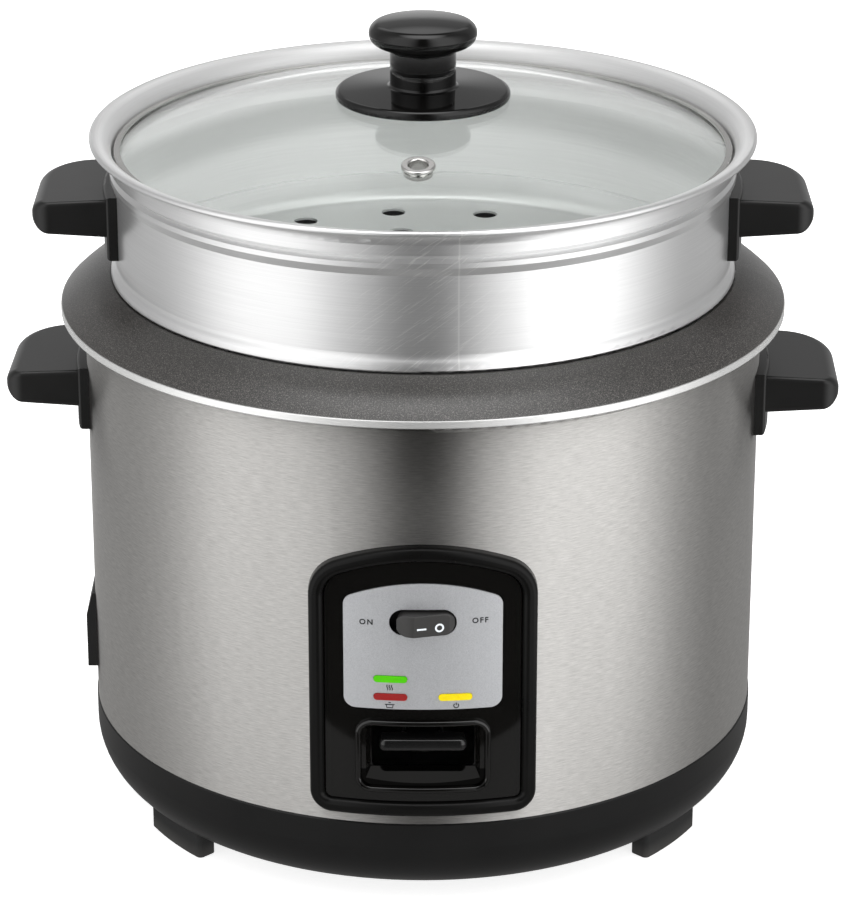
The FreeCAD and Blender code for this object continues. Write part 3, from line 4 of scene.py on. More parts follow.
import bmesh
import bpy
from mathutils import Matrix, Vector


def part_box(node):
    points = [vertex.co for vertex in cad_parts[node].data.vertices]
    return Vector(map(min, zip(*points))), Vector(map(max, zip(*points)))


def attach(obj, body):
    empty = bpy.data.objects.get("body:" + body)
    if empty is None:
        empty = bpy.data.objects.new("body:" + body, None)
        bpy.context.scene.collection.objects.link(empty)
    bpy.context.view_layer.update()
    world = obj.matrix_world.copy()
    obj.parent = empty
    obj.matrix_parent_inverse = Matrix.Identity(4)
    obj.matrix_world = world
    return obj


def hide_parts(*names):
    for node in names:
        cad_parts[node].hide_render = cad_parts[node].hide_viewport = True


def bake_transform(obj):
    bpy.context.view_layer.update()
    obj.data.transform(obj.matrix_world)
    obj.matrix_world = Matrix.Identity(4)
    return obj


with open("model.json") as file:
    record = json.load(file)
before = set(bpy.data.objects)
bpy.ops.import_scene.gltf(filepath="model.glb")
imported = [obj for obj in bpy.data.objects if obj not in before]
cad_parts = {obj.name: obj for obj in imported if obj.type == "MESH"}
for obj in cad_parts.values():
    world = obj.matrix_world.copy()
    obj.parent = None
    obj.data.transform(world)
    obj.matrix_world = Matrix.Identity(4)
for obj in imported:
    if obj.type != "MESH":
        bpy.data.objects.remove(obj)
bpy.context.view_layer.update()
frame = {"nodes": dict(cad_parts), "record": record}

# Base ring
# A black polypropylene moulding with a fine spark-eroded grain, on which the whole cooker stands.
# Its spigot plugs up into the steel sleeve, and the bottom cover is screwed up against its floor.
MASK_LOW = 0.3
MASK_HIGH = 0.7
PATCH_SCALE = 34.0


def place(tree, kind, inputs=None, **settings):
    """Adds a node to a tree, sets its options, and fills or links its inputs."""
    node = tree.nodes.new(kind)
    for option, choice in settings.items():
        setattr(node, option, choice)
    for socket, value in (inputs or {}).items():
        if isinstance(value, bpy.types.NodeSocket):
            tree.links.new(value, node.inputs[socket])
        else:
            node.inputs[socket].default_value = value
    return node


def new_effect(name, inputs, outputs):
    """Starts a shader node group with number sockets, and gives its tree and its two ends."""
    tree = bpy.data.node_groups.new(name, "ShaderNodeTree")
    for label, default in inputs.items():
        socket = tree.interface.new_socket(label, in_out="INPUT", socket_type="NodeSocketFloat")
        socket.default_value = default
    for label in outputs:
        tree.interface.new_socket(label, in_out="OUTPUT", socket_type="NodeSocketFloat")
    return tree, tree.nodes.new("NodeGroupInput").outputs, tree.nodes.new("NodeGroupOutput").inputs


def use(tree, effect, **inputs):
    """Places an effect in a material with that material's own values, and gives its outputs."""
    return place(tree, "ShaderNodeGroup", inputs, node_tree=effect).outputs


def own_coordinates(tree):
    """The piece's own coordinates in metres, the same as the frame's at rest."""
    return place(tree, "ShaderNodeTexCoord").outputs["Object"]


def noise(tree, vector, scale, **inputs):
    """A noise mask of 0 to 1 over a vector."""
    node = place(tree, "ShaderNodeTexNoise", {"Vector": vector, "Scale": scale, **inputs})
    return node.outputs["Fac"]


def spread(tree, value, low, high, start=0.0, end=1.0):
    """Spreads a value from start to end over low to high."""
    inputs = {"Value": value, "From Min": start, "From Max": end, "To Min": low, "To Max": high}
    return place(tree, "ShaderNodeMapRange", inputs).outputs["Result"]


def ramp(tree, value, *stops):
    """Turns a value into a colour, from pairs of a position and a colour."""
    node = place(tree, "ShaderNodeValToRGB", {"Fac": value})
    elements = node.color_ramp.elements
    while len(elements) < len(stops):
        elements.new(1.0)
    for element, (position, colour) in zip(elements, stops):
        element.position = position
        element.color = (*colour, 1.0)
    return node.outputs["Color"]


def shades(tree, mask, dark, pale):
    """Turns the middle range of a mask into colours from dark to pale."""
    return ramp(tree, mask, (MASK_LOW, dark), (MASK_HIGH, pale))


def relief(tree, height, depth):
    """Turns a height of 0 to 1 into a bumped normal of that depth in metres."""
    inputs = {"Height": height, "Distance": depth, "Strength": 1.0}
    return place(tree, "ShaderNodeBump", inputs).outputs["Normal"]


def new_material(name, **values):
    """Starts a material with its shader's values, and gives it with its tree and its shader."""
    material = bpy.data.materials.new(name)
    material.use_nodes = True
    tree = material.node_tree
    shader = tree.nodes["Principled BSDF"]
    for label, value in values.items():
        shader.inputs[label.replace("_", " ")].default_value = value
    return material, tree, shader


def finish(slot, **values):
    """Makes the finish of a material slot and puts it on every node that the record gives that slot."""
    material, tree, shader = new_material(slot, **values)
    for part in frame["record"]["subparts"]:
        if part["material_slot"] == slot:
            frame["nodes"][part["node"]].material_slots[0].material = material
    return tree, shader


def wear(tree, shader, **sockets):
    """Links varying sockets to the finish's shader."""
    for label, source in sockets.items():
        tree.links.new(source, shader.inputs[label.replace("_", " ")])


moulding_grain, ends, leaves = new_effect("moulding_grain", {"Fineness": 1500.0}, ("Pits", "Patches"))
spot = own_coordinates(moulding_grain)
pits = noise(moulding_grain, spot, ends["Fineness"], Detail=3.0, Roughness=0.6)
patches = noise(moulding_grain, spot, PATCH_SCALE, Detail=4.0, Roughness=0.55)
moulding_grain.links.new(pits, leaves["Pits"])
moulding_grain.links.new(patches, leaves["Patches"])


def grained(slot, fineness, dark, pale, gloss, depth=None, gloss_mask="Patches", **values):
    """Gives a slot a patchy colour, a gloss that varies over a mask, and pits where a depth is given."""
    tree, shader = finish(slot, **values)
    grain = use(tree, moulding_grain, Fineness=fineness)
    wear(tree, shader,
         Base_Color=shades(tree, grain["Patches"], dark, pale),
         Roughness=spread(tree, grain[gloss_mask], *gloss))
    if depth:
        wear(tree, shader, Normal=relief(tree, grain["Pits"], depth))


grained("base_plastic", 1700.0, (0.0025, 0.0025, 0.0026), (0.0037, 0.0036, 0.0036),
        (0.34, 0.46), 0.000025, Specular_IOR_Level=0.32)

# Feet
# Four soft rubber pads with rounded edges, pressed into pockets of the base ring.
# The rubber is dull and picks up a little dust where it meets the table.
DUST_TOP = 0.006


def compute(tree, operation, *values):
    """Adds a node that works out one value from others, and gives its result."""
    return place(tree, "ShaderNodeMath", dict(enumerate(values)), operation=operation).outputs["Value"]


def own_axes(tree):
    """The piece's own X, Y and Z in metres, each as a value."""
    return place(tree, "ShaderNodeSeparateXYZ", {"Vector": own_coordinates(tree)}).outputs


tree, shader = finish("foot_rubber", Specular_IOR_Level=0.3)
grain = use(tree, moulding_grain, Fineness=900.0)
lowness = spread(tree, own_axes(tree)["Z"], 1.0, 0.0, 0.0, DUST_TOP)
dust = compute(tree, "MULTIPLY", lowness, grain["Patches"])
wear(tree, shader,
     Base_Color=ramp(tree, dust, (0.0, (0.014, 0.014, 0.014)), (0.8, (0.06, 0.058, 0.055))),
     Roughness=spread(tree, grain["Patches"], 0.68, 0.84),
     Normal=relief(tree, grain["Pits"], 0.00004))

# Sleeve
# The drum's stainless sheet, rolled into a cylinder and brushed round it before it is cut for the panel.
# The brushing spreads each reflection up and down and leaves streaks about a finger's breadth long.
BAND_SHARES = (0.45, 0.11, 1.0)


def bearing(tree, axes):
    """The angle about the Z axis from the front, in radians, positive to the right."""
    to_front = compute(tree, "MULTIPLY", axes["Y"], -1.0)
    return compute(tree, "ARCTAN2", axes["X"], to_front)


def off_axis(tree, axes):
    """The level vector from the Z axis to a point."""
    return place(tree, "ShaderNodeCombineXYZ", {"X": axes["X"], "Y": axes["Y"]}).outputs["Vector"]


def vectors(tree, operation, *values):
    """Adds a node that works on whole vectors, and gives its outputs."""
    return place(tree, "ShaderNodeVectorMath", dict(enumerate(values)), operation=operation).outputs


def axis_distance(tree, axes):
    """How far a point is from the Z axis, in metres."""
    return vectors(tree, "LENGTH", off_axis(tree, axes))["Value"]


def scaled(tree, vector, factors):
    """A vector with each of its three parts multiplied by a factor."""
    return vectors(tree, "MULTIPLY", vector, factors)["Vector"]


line_values = {"Fineness": 2600.0, "Reach": 4.0}
drawn_lines, ends, leaves = new_effect("drawn_lines", line_values, ("Lines", "Bands"))
axes = own_axes(drawn_lines)
along = compute(drawn_lines, "MULTIPLY", bearing(drawn_lines, axes), ends["Reach"])
across = compute(drawn_lines, "ADD", axes["Z"], axis_distance(drawn_lines, axes))
fine = compute(drawn_lines, "MULTIPLY", across, ends["Fineness"])
wrapped = place(drawn_lines, "ShaderNodeCombineXYZ", {"X": along, "Y": fine}).outputs["Vector"]
lines = noise(drawn_lines, wrapped, 1.0, Detail=4.0, Roughness=0.7)
bands = noise(drawn_lines, scaled(drawn_lines, wrapped, BAND_SHARES), 1.0, Detail=3.0)
drawn_lines.links.new(lines, leaves["Lines"])
drawn_lines.links.new(bands, leaves["Bands"])


def combed(tree, shader):
    """Turns the finish's stretched gloss so that it spreads across lines drawn round the Z axis."""
    tangent = place(tree, "ShaderNodeTangent", direction_type="RADIAL", axis="Z")
    tree.links.new(tangent.outputs["Tangent"], shader.inputs["Tangent"])


tree, shader = finish("brushed_steel", Metallic=1.0, Anisotropic=1.0, Anisotropic_Rotation=0.25)
combed(tree, shader)
brush = use(tree, drawn_lines, Fineness=2300.0, Reach=26.0)
wear(tree, shader,
     Base_Color=shades(tree, brush["Lines"], (0.50, 0.49, 0.474), (0.72, 0.706, 0.684)),
     Roughness=spread(tree, brush["Bands"], 0.41, 0.47),
     Normal=relief(tree, brush["Lines"], 0.000005))

# Inner shell, bottom cover and other pressed sheet
# Zinc-coated steel pressings inside the cooker: the shell round the pot, the band, the cup, the bracket
# and the vented cover underneath. The zinc shows a faint crystal pattern and rolling lines.
CRYSTAL_SCALE = 140.0


def cells(tree, scale, channel):
    """A mask with one chance value of 0 to 1 for each cell of a crystal pattern."""
    pattern = place(tree, "ShaderNodeTexVoronoi", {"Vector": own_coordinates(tree), "Scale": scale})
    return place(tree, "ShaderNodeSeparateColor", {"Color": pattern.outputs["Color"]}).outputs[channel]


tree, shader = finish("sheet_steel", Metallic=1.0)
spangle = cells(tree, CRYSTAL_SCALE, "Red")
rolled = use(tree, drawn_lines, Fineness=1800.0, Reach=6.0)
wear(tree, shader,
     Base_Color=ramp(tree, spangle, (0.0, (0.46, 0.47, 0.48)), (1.0, (0.56, 0.57, 0.58))),
     Roughness=spread(tree, spangle, 0.3, 0.44),
     Normal=relief(tree, rolled["Lines"], 0.000006))

# Heating plate and sensor cap
# The plate is cast aluminium, faced on a lathe, and the pot stands on it. The cap is turned from the same.
# Facing leaves fine rings about the axis over the grainy casting.
tree, shader = finish("cast_aluminium", Metallic=1.0)
rings = use(tree, drawn_lines, Fineness=1500.0, Reach=0.4)
grain = use(tree, moulding_grain, Fineness=700.0)
wear(tree, shader,
     Base_Color=shades(tree, grain["Patches"], (0.60, 0.60, 0.60), (0.72, 0.72, 0.71)),
     Roughness=spread(tree, rings["Lines"], 0.34, 0.5),
     Normal=relief(tree, rings["Lines"], 0.00002))

# Heating element
# A tubular heater with a dark oxidised steel sheath, cast into the underside of the plate.
# Heat has coloured it straw and blue in patches.
SHEATH_COLOURS = (
    (0.3, (0.085, 0.08, 0.078)),
    (0.5, (0.13, 0.105, 0.08)),
    (0.7, (0.09, 0.095, 0.115)),
)
tree, shader = finish("element_sheath", Metallic=0.85)
grain = use(tree, moulding_grain, Fineness=1100.0)
wear(tree, shader,
     Base_Color=ramp(tree, grain["Patches"], *SHEATH_COLOURS),
     Roughness=spread(tree, grain["Pits"], 0.42, 0.6))

# Screws, rivets, pins and spring
# Nickel-plated steel, drawn or turned: the fasteners, the lever's pin, the magnet's rod and the coil.
# They are bright, with light handling marks.
grained("bright_steel", 2400.0, (0.58, 0.575, 0.56), (0.68, 0.675, 0.66),
        (0.18, 0.32), 0.000006, Metallic=1.0)

# Sensor spring
# The coil in the sensor's cup, in the same bright wire. A copy of its mesh stands in its place, and the
# part itself is hidden.
wound = frame["nodes"]["sensor_spring"]
coil = bpy.data.objects.new("sensor_coil", wound.data.copy())
bpy.context.scene.collection.objects.link(coil)
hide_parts("sensor_spring")
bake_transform(coil)

# Thermostat, fuse, ferrites and switches
# Bought-in parts inside the base: a plated thermostat can, a ceramic fuse, dull ferrite discs and black
# phenolic switches on their tabs, with a brown laminate board behind the lamps.
FIBRE_SCALE = 620.0
FIBRE_BEND = 5.0
grained("thermostat_shell", 1600.0, (0.55, 0.52, 0.45), (0.66, 0.63, 0.56),
        (0.26, 0.4), gloss_mask="Pits", Metallic=1.0)
grained("fuse_case", 1300.0, (0.62, 0.59, 0.52), (0.72, 0.70, 0.64), (0.5, 0.68), 0.00002, "Pits")
grained("switch_plastic", 1500.0, (0.016, 0.016, 0.016), (0.024, 0.023, 0.023),
        (0.4, 0.55), 0.00002, "Pits")
tree, shader = finish("ferrite", Metallic=0.25)
grain = use(tree, moulding_grain, Fineness=2000.0)
wear(tree, shader,
     Base_Color=ramp(tree, grain["Pits"], (0.35, (0.022, 0.022, 0.025)), (0.65, (0.045, 0.044, 0.047))),
     Roughness=spread(tree, grain["Pits"], 0.55, 0.75),
     Normal=relief(tree, grain["Pits"], 0.00002))
tree, shader = finish("board_laminate")
woven = {"Vector": own_coordinates(tree), "Scale": FIBRE_SCALE, "Distortion": FIBRE_BEND}
fibres = place(tree, "ShaderNodeTexWave", woven).outputs["Fac"]
wear(tree, shader,
     Base_Color=ramp(tree, fibres, (0.2, (0.20, 0.11, 0.045)), (0.8, (0.27, 0.155, 0.07))),
     Roughness=spread(tree, fibres, 0.45, 0.58))

# Cook lever
# A gloss black lever on a pin under the heating plate. Its finger pad shows in the recess of the panel.
# Faint wiping marks vary its gloss.
grained("lever_plastic", 1500.0, (0.006, 0.006, 0.006), (0.009, 0.009, 0.009),
        (0.1, 0.17), Specular_IOR_Level=0.5)

# Panel frame
# The satin black frame that clamps the control panel to the sleeve from inside.
# A soft moulded grain breaks its gloss, and its lower edge sits just above the base ring.
grained("bezel_plastic", 2200.0, (0.0026, 0.0025, 0.0024), (0.0038, 0.0037, 0.0035),
        (0.24, 0.32), 0.000012, Specular_IOR_Level=0.15)

# Panel face
# A high-gloss black moulding curved with the sleeve, with the lever's recess in it.
# It mirrors the room sharply, with faint wiping marks, and the slope below the lever carries painted
# shade.
SLOPE_HALF = 0.0237
SLOPE_LOW = 0.0583
SLOPE_HIGH = 0.0652
SLOPE_PAINTED_SHADE = 0.82
tree, shader = finish("face_plastic", Specular_IOR_Level=0.5)
grain = use(tree, moulding_grain, Fineness=420.0)
axes = own_axes(tree)
# Painted shade: on the slope below the lever the gloss is turned metallic over the black colour, which
# makes it dead black.
within = compute(tree, "LESS_THAN", compute(tree, "ABSOLUTE", axes["X"]), SLOPE_HALF)
above = compute(tree, "GREATER_THAN", axes["Z"], SLOPE_LOW)
below = compute(tree, "LESS_THAN", axes["Z"], SLOPE_HIGH)
painted_shade_mask = compute(tree, "MULTIPLY", within, compute(tree, "MULTIPLY", above, below))
wear(tree, shader,
     Base_Color=shades(tree, grain["Patches"], (0.0032, 0.003, 0.0028), (0.0042, 0.004, 0.0036)),
     Metallic=spread(tree, painted_shade_mask, 0.0, SLOPE_PAINTED_SHADE),
     Roughness=spread(tree, grain["Patches"], 0.035, 0.075))

# Silver plate
# A thin plate in silver paint, glued in the shallow seat of the face round the rocker and the lamps.
# Tiny metal flakes in the paint differ in brightness and in gloss.
FLAKE_SCALE = 4200.0
tree, shader = finish("silver_plate", Metallic=0.72, Specular_IOR_Level=0.5)
glint = cells(tree, FLAKE_SCALE, "Green")
grain = use(tree, moulding_grain, Fineness=2600.0)
wear(tree, shader,
     Base_Color=ramp(tree, glint, (0.0, (0.505, 0.513, 0.53)), (1.0, (0.63, 0.638, 0.656))),
     Roughness=spread(tree, glint, 0.38, 0.5),
     Normal=relief(tree, grain["Pits"], 0.00001))

# Print on the plate
# Dark grey pad printing: the two words of the power switch and a plain sign under each lamp.
# It lies as a skin of ink on the curved plate.
PLATE_RADIUS = 0.1379
INK_LIFT = 0.00004
INK_DEPTH = 0.00003
LETTER_SIZE = 0.003
LETTER_STROKE = 0.00008
LETTER_SPACING = 1.3
ON_ALONG = -0.0214
ON_HEIGHT = 0.1267
OFF_ALONG = 0.0216
OFF_HEIGHT = 0.1274
SIGN_STROKE = 0.00042
SIGN_HEIGHT = 0.0022
SIGN_DROP = 0.0035
WAVE_STEPS = 12
WAVE_SWING = 0.09
WAVE_SPACING = 0.4


def pigment(name, fineness, dark, pale, gloss, **values):
    """Makes the material of a mark, whose colour and gloss vary with a fine grain."""
    material, tree, shader = new_material(name, **values)
    grain = use(tree, moulding_grain, Fineness=fineness)
    wear(tree, shader,
         Base_Color=shades(tree, grain["Pits"], dark, pale),
         Roughness=spread(tree, grain["Pits"], *gloss))
    return material


def on_plate(along, height):
    """The point of the curved plate at a distance to the right of its middle, and a height."""
    turn = along / PLATE_RADIUS
    reach = PLATE_RADIUS + INK_LIFT
    return Vector((reach * math.sin(turn), -reach * math.cos(turn), height))


def word(name, letters, along, height):
    """Sets a word flat on the plate, centred on a point of it."""
    text = bpy.data.curves.new(name, "FONT")
    text.body = letters
    text.size = LETTER_SIZE
    text.space_character = LETTER_SPACING
    text.offset = LETTER_STROKE
    text.extrude = INK_DEPTH
    text.align_x = "CENTER"
    text.align_y = "CENTER"
    text.materials.append(ink)
    printed = bpy.data.objects.new(name, text)
    bpy.context.scene.collection.objects.link(printed)
    printed.location = on_plate(along, height)
    printed.rotation_euler = (math.radians(90.0), 0.0, along / PLATE_RADIUS)
    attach(printed, "cooker_body")


def strokes(name, lines, width, onto, material, body):
    """Draws lines as flat strokes of one width, laid on a surface by a function of two distances."""
    mesh = bmesh.new()
    for points in lines:
        closed = points[0] == points[-1]
        path = [Vector(point) for point in (points[:-1] if closed else points)]
        sides = []
        for at, point in enumerate(path):
            before = path[at - 1] if at or closed else point
            after = path[(at + 1) % len(path)] if at + 1 < len(path) or closed else point
            direction = (after - before).normalized()
            sideways = Vector((-direction.y, direction.x)) * width / 2.0
            left = mesh.verts.new(onto(*(point + sideways)))
            right = mesh.verts.new(onto(*(point - sideways)))
            sides.append((left, right))
        for first, second in zip(sides, sides[1:] + (sides[:1] if closed else [])):
            mesh.faces.new((first[0], first[1], second[1], second[0]))
    drawn = bpy.data.meshes.new(name)
    mesh.to_mesh(drawn)
    mesh.free()
    drawn.materials.append(material)
    piece = bpy.data.objects.new(name, drawn)
    bpy.context.scene.collection.objects.link(piece)
    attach(piece, body)


def arc(centre, radius, start, end, steps=14):
    """Points of an arc between two angles in degrees."""
    angles = [math.radians(start + (end - start) * step / steps) for step in range(steps + 1)]
    right, up = centre
    return [(right + radius * math.cos(angle), up + radius * math.sin(angle)) for angle in angles]


def lamp_sign(name, lamp, lines):
    """Draws a sign a SIGN_HEIGHT tall, given in shares of that height, under the middle of a lamp."""
    low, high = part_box(lamp)
    middle = math.atan2(low.x + high.x, -(low.y + high.y)) * PLATE_RADIUS
    height = (low.z + high.z) / 2.0 - SIGN_DROP

    def onto(right, up):
        return on_plate(middle + right * SIGN_HEIGHT, height + up * SIGN_HEIGHT)

    share = SIGN_STROKE / SIGN_HEIGHT
    strokes(name, lines, share, onto, ink, "cooker_body")


ink = pigment("plate_ink", 3000.0, (0.012, 0.012, 0.013), (0.022, 0.022, 0.024),
              (0.5, 0.65), Specular_IOR_Level=0.35)
word("print_on", "ON", ON_ALONG, ON_HEIGHT)
word("print_off", "OFF", OFF_ALONG, OFF_HEIGHT)

rises = [step / WAVE_STEPS for step in range(WAVE_STEPS + 1)]
wave = [(WAVE_SWING * math.sin(rise * math.tau), rise - 0.5) for rise in rises]
steam = [[(middle + x, y) for x, y in wave] for middle in (-WAVE_SPACING, 0.0, WAVE_SPACING)]
lamp_sign("print_warm_sign", "warm_lamp", steam)
pan = [(-0.6, 0.15), (-0.5, -0.45), (0.5, -0.45), (0.6, 0.15)]
brim = [(-0.85, 0.15), (0.85, 0.15)]
button = [(-0.2, 0.5), (0.2, 0.5)]
lamp_sign("print_cook_sign", "cook_lamp", [pan, brim, button])
circle = arc((0.0, -0.05), 0.42, 125.0, 415.0)
bar = [(0.0, 0.0), (0.0, 0.5)]
lamp_sign("print_power_sign", "power_lamp", [circle, bar])

# Lamp lenses
# Three clear acrylic light pipes that snap in from behind: green, red and yellow, proud of the plate.
# The colour is in the acrylic, and each has a soft sheen and faint flow marks.
LENS_COLOURS = {
    "lamp_green": ((0.06, 0.42, 0.0006), (0.08, 0.5, 0.0012)),
    "lamp_red": ((0.22, 0.012, 0.012), (0.28, 0.018, 0.018)),
    "lamp_yellow": ((0.66, 0.52, 0.0015), (0.76, 0.60, 0.003)),
}
for slot, (deep, pale) in LENS_COLOURS.items():
    grained(slot, 600.0, deep, pale, (0.2, 0.34),
            Specular_IOR_Level=0.2, Subsurface_Weight=0.35, Subsurface_Scale=0.002)

# Power rocker
# A satin grey-black rocker that swings on trunnions in its switch, with two white marks on its flat.
# The marks are filled into the moulding, a dash for on and a ring for off.
FLAT_START = Vector((-0.0034, -0.14253, 0.1261))
FLAT_RUN = Vector((0.9713, 0.2376, 0.0))
FLAT_OUT = Vector((0.2376, -0.9713, 0.0))
DASH_MIDDLE = 0.003
DASH_HALF = 0.0018
RING_MIDDLE = 0.0099
RING_RADIUS = 0.0014
RING_STEPS = 32
MARK_STROKE = 0.00072


def on_flat(along, up):
    """The point of the rocker's flat at a distance from its left end, and a height over its middle."""
    return FLAT_START + FLAT_RUN * along + FLAT_OUT * INK_LIFT + Vector((0.0, 0.0, up))


grained("rocker_plastic", 2000.0, (0.019, 0.0185, 0.018), (0.026, 0.025, 0.024),
        (0.34, 0.44), 0.00001, Specular_IOR_Level=0.5)
fill = pigment("mark_fill", 2600.0, (0.62, 0.66, 0.70), (0.74, 0.78, 0.82), (0.4, 0.55))
dash = [(DASH_MIDDLE - DASH_HALF, 0.0), (DASH_MIDDLE + DASH_HALF, 0.0)]
ring = arc((RING_MIDDLE, 0.0), RING_RADIUS, 0.0, 360.0, RING_STEPS)
ring[-1] = ring[0]
strokes("rocker_marks", [dash, ring], MARK_STROKE, on_flat, fill, "rocker")

# Handles
# Semi-gloss black phenolic handles: two screwed to the sleeve, two riveted to the steamer.
# Each is pressed in a mould with a crisp top edge and rounded tips.
grained("handle_plastic", 1300.0, (0.0072, 0.007, 0.0069), (0.0098, 0.0096, 0.0094),
        (0.27, 0.36), 0.00001, Specular_IOR_Level=0.32)

# Mains inlet
# A hooded black socket at the left side for a separate lead, clipped through the sleeve.
# Its brass prongs are turned and dulled by use.
grained("inlet_plastic", 1700.0, (0.0042, 0.0042, 0.0044), (0.0062, 0.0061, 0.0061),
        (0.36, 0.48), 0.00002, Specular_IOR_Level=0.45)
grained("prong_brass", 1500.0, (0.62, 0.45, 0.20), (0.76, 0.58, 0.29), (0.24, 0.4), Metallic=1.0)

# Inner pot
# A drawn aluminium pot. Its inside and rim carry a dark speckled non-stick coat, and its outside and
# the cut edge of the lip are bare metal, with a painted shadow along the bottom of the lip band.
COAT_EDGE = 0.1439
COAT_BLUR = 0.0003
COAT_COLOURS = (
    (0.36, (0.008, 0.0075, 0.007)),
    (0.52, (0.031, 0.029, 0.027)),
    (0.67, (0.175, 0.164, 0.154)),
)
SPECK_SCALE = 2300.0
POT_WALL_MIDDLE = 0.1217
POT_SKIRT = 0.2055
LIP_BOTTOM = 0.2075
LIP_SHADOW_TOP = 0.2079
LIP_SHADOW_STRENGTH = 0.85
LIP_SHADOW_COLOUR = (0.03, 0.03, 0.03, 1.0)
LIP_SATIN = -0.35


def mixed(tree, share, first, second, **settings):
    """Mixes two colours by the share of the second."""
    inputs = {0: share, 6: first, 7: second}
    return place(tree, "ShaderNodeMix", inputs, data_type="RGBA", **settings).outputs[2]


def between(tree, share, first, second):
    """The value that lies a share of the way from the first value to the second."""
    return place(tree, "ShaderNodeMix", {0: share, 2: first, 3: second}, data_type="FLOAT").outputs[0]


tree, shader = finish("nonstick_coating", Specular_IOR_Level=0.65)
axes = own_axes(tree)
radius = axis_distance(tree, axes)
lip = spread(tree, radius, 0.0, 1.0, COAT_EDGE, COAT_EDGE + COAT_BLUR)
outside = compute(tree, "GREATER_THAN", radius, POT_WALL_MIDDLE)
below = compute(tree, "LESS_THAN", axes["Z"], POT_SKIRT)
bare = compute(tree, "MAXIMUM", lip, compute(tree, "MULTIPLY", outside, below))
specks = noise(tree, own_coordinates(tree), SPECK_SCALE, Detail=3.0, Roughness=0.75)
coat = ramp(tree, specks, *COAT_COLOURS)
spun = use(tree, drawn_lines, Fineness=1800.0, Reach=3.0)
clean = ramp(tree, spun["Lines"], (0.25, (0.70, 0.70, 0.69)), (0.75, (0.80, 0.80, 0.79)))
# Painted shadow: the bottom of the lip band is darkened, fading out a fraction of a millimetre higher up.
lip_shadow = spread(tree, axes["Z"], LIP_SHADOW_STRENGTH, 0.0, LIP_BOTTOM, LIP_SHADOW_TOP)
metal_and_painted_shadow = mixed(tree, compute(tree, "MULTIPLY", lip, lip_shadow), clean, LIP_SHADOW_COLOUR)
coat_gloss = spread(tree, specks, 0.26, 0.42)
bare_gloss = spread(tree, spun["Bands"], 0.15, 0.22)
wear(tree, shader,
     Base_Color=mixed(tree, bare, coat, metal_and_painted_shadow),
     Metallic=compute(tree, "MULTIPLY_ADD", lip, LIP_SATIN, bare),
     Roughness=between(tree, bare, coat_gloss, bare_gloss),
     Normal=relief(tree, specks, 0.00003))

# Steamer
# A spun aluminium basket with a pierced floor, a bead to sit on the pot and a flared rim for the lid.
# Its satin skin has fine turning lines, a faint seam and a few slanting scuffs at the front.
# Inside it is duller, with painted light on its wall below the neck and painted shade above the neck and
# on the floor.
SEAM_TURN = 0.108
SEAM_WIDTH = 0.004
SEAM_SHARE = 0.8
SCUFF_SLANT = 0.62
SCUFF_STRETCH = (90.0, 60.0, 1900.0)
SCUFF_FROM = 0.58
SCUFF_TO = 0.68
SCUFF_REACH = 0.035
SCUFF_COLOUR = (0.93, 0.93, 0.92, 1.0)
SCUFF_ROUGHNESS = 0.07
NECK_LOW = 0.262
NECK_HIGH = 0.268
NECK_PAINTED_LIGHT = 1.24
RIM_PAINTED_SHADE = 0.8
FLOOR_TOP = 0.217
FLOOR_PAINTED_SHADE = 0.84
tree, shader = finish("satin_aluminium", Anisotropic=0.45, Anisotropic_Rotation=0.25)
combed(tree, shader)
axes = own_axes(tree)
spun = use(tree, drawn_lines, Fineness=1900.0, Reach=2.2)
turned = {"Vector": own_coordinates(tree), "Rotation": (0.0, SCUFF_SLANT, 0.0)}
slanted = place(tree, "ShaderNodeMapping", turned).outputs["Vector"]
scuffs = noise(tree, scaled(tree, slanted, SCUFF_STRETCH), 1.0, Detail=2.0)
scratched = spread(tree, scuffs, 0.0, 1.0, SCUFF_FROM, SCUFF_TO)
middle = spread(tree, compute(tree, "ABSOLUTE", axes["X"]), 1.0, 0.0, 0.0, SCUFF_REACH)
front = compute(tree, "LESS_THAN", axes["Y"], 0.0)
scuffed = compute(tree, "MULTIPLY", scratched, compute(tree, "MULTIPLY", middle, front))
from_seam = compute(tree, "SUBTRACT", bearing(tree, axes), SEAM_TURN)
seam = spread(tree, compute(tree, "ABSOLUTE", from_seam), SEAM_SHARE, 0.0, 0.0, SEAM_WIDTH)
marked = compute(tree, "MAXIMUM", seam, scuffed)
turned_skin = ramp(tree, spun["Lines"], (0.25, (0.70, 0.70, 0.70)), (0.75, (0.80, 0.80, 0.80)))
skin = mixed(tree, marked, turned_skin, SCUFF_COLOUR)
outward = vectors(tree, "NORMALIZE", off_axis(tree, axes))["Vector"]
normal = place(tree, "ShaderNodeNewGeometry").outputs["Normal"]
facing = vectors(tree, "DOT_PRODUCT", normal, outward)["Value"]
inside = spread(tree, facing, 1.0, 0.0, -0.6, -0.2)
level = spread(tree, compute(tree, "ABSOLUTE", facing), 1.0, 0.0, 0.3, 0.6)
bottom = compute(tree, "MULTIPLY", level, compute(tree, "LESS_THAN", axes["Z"], FLOOR_TOP))
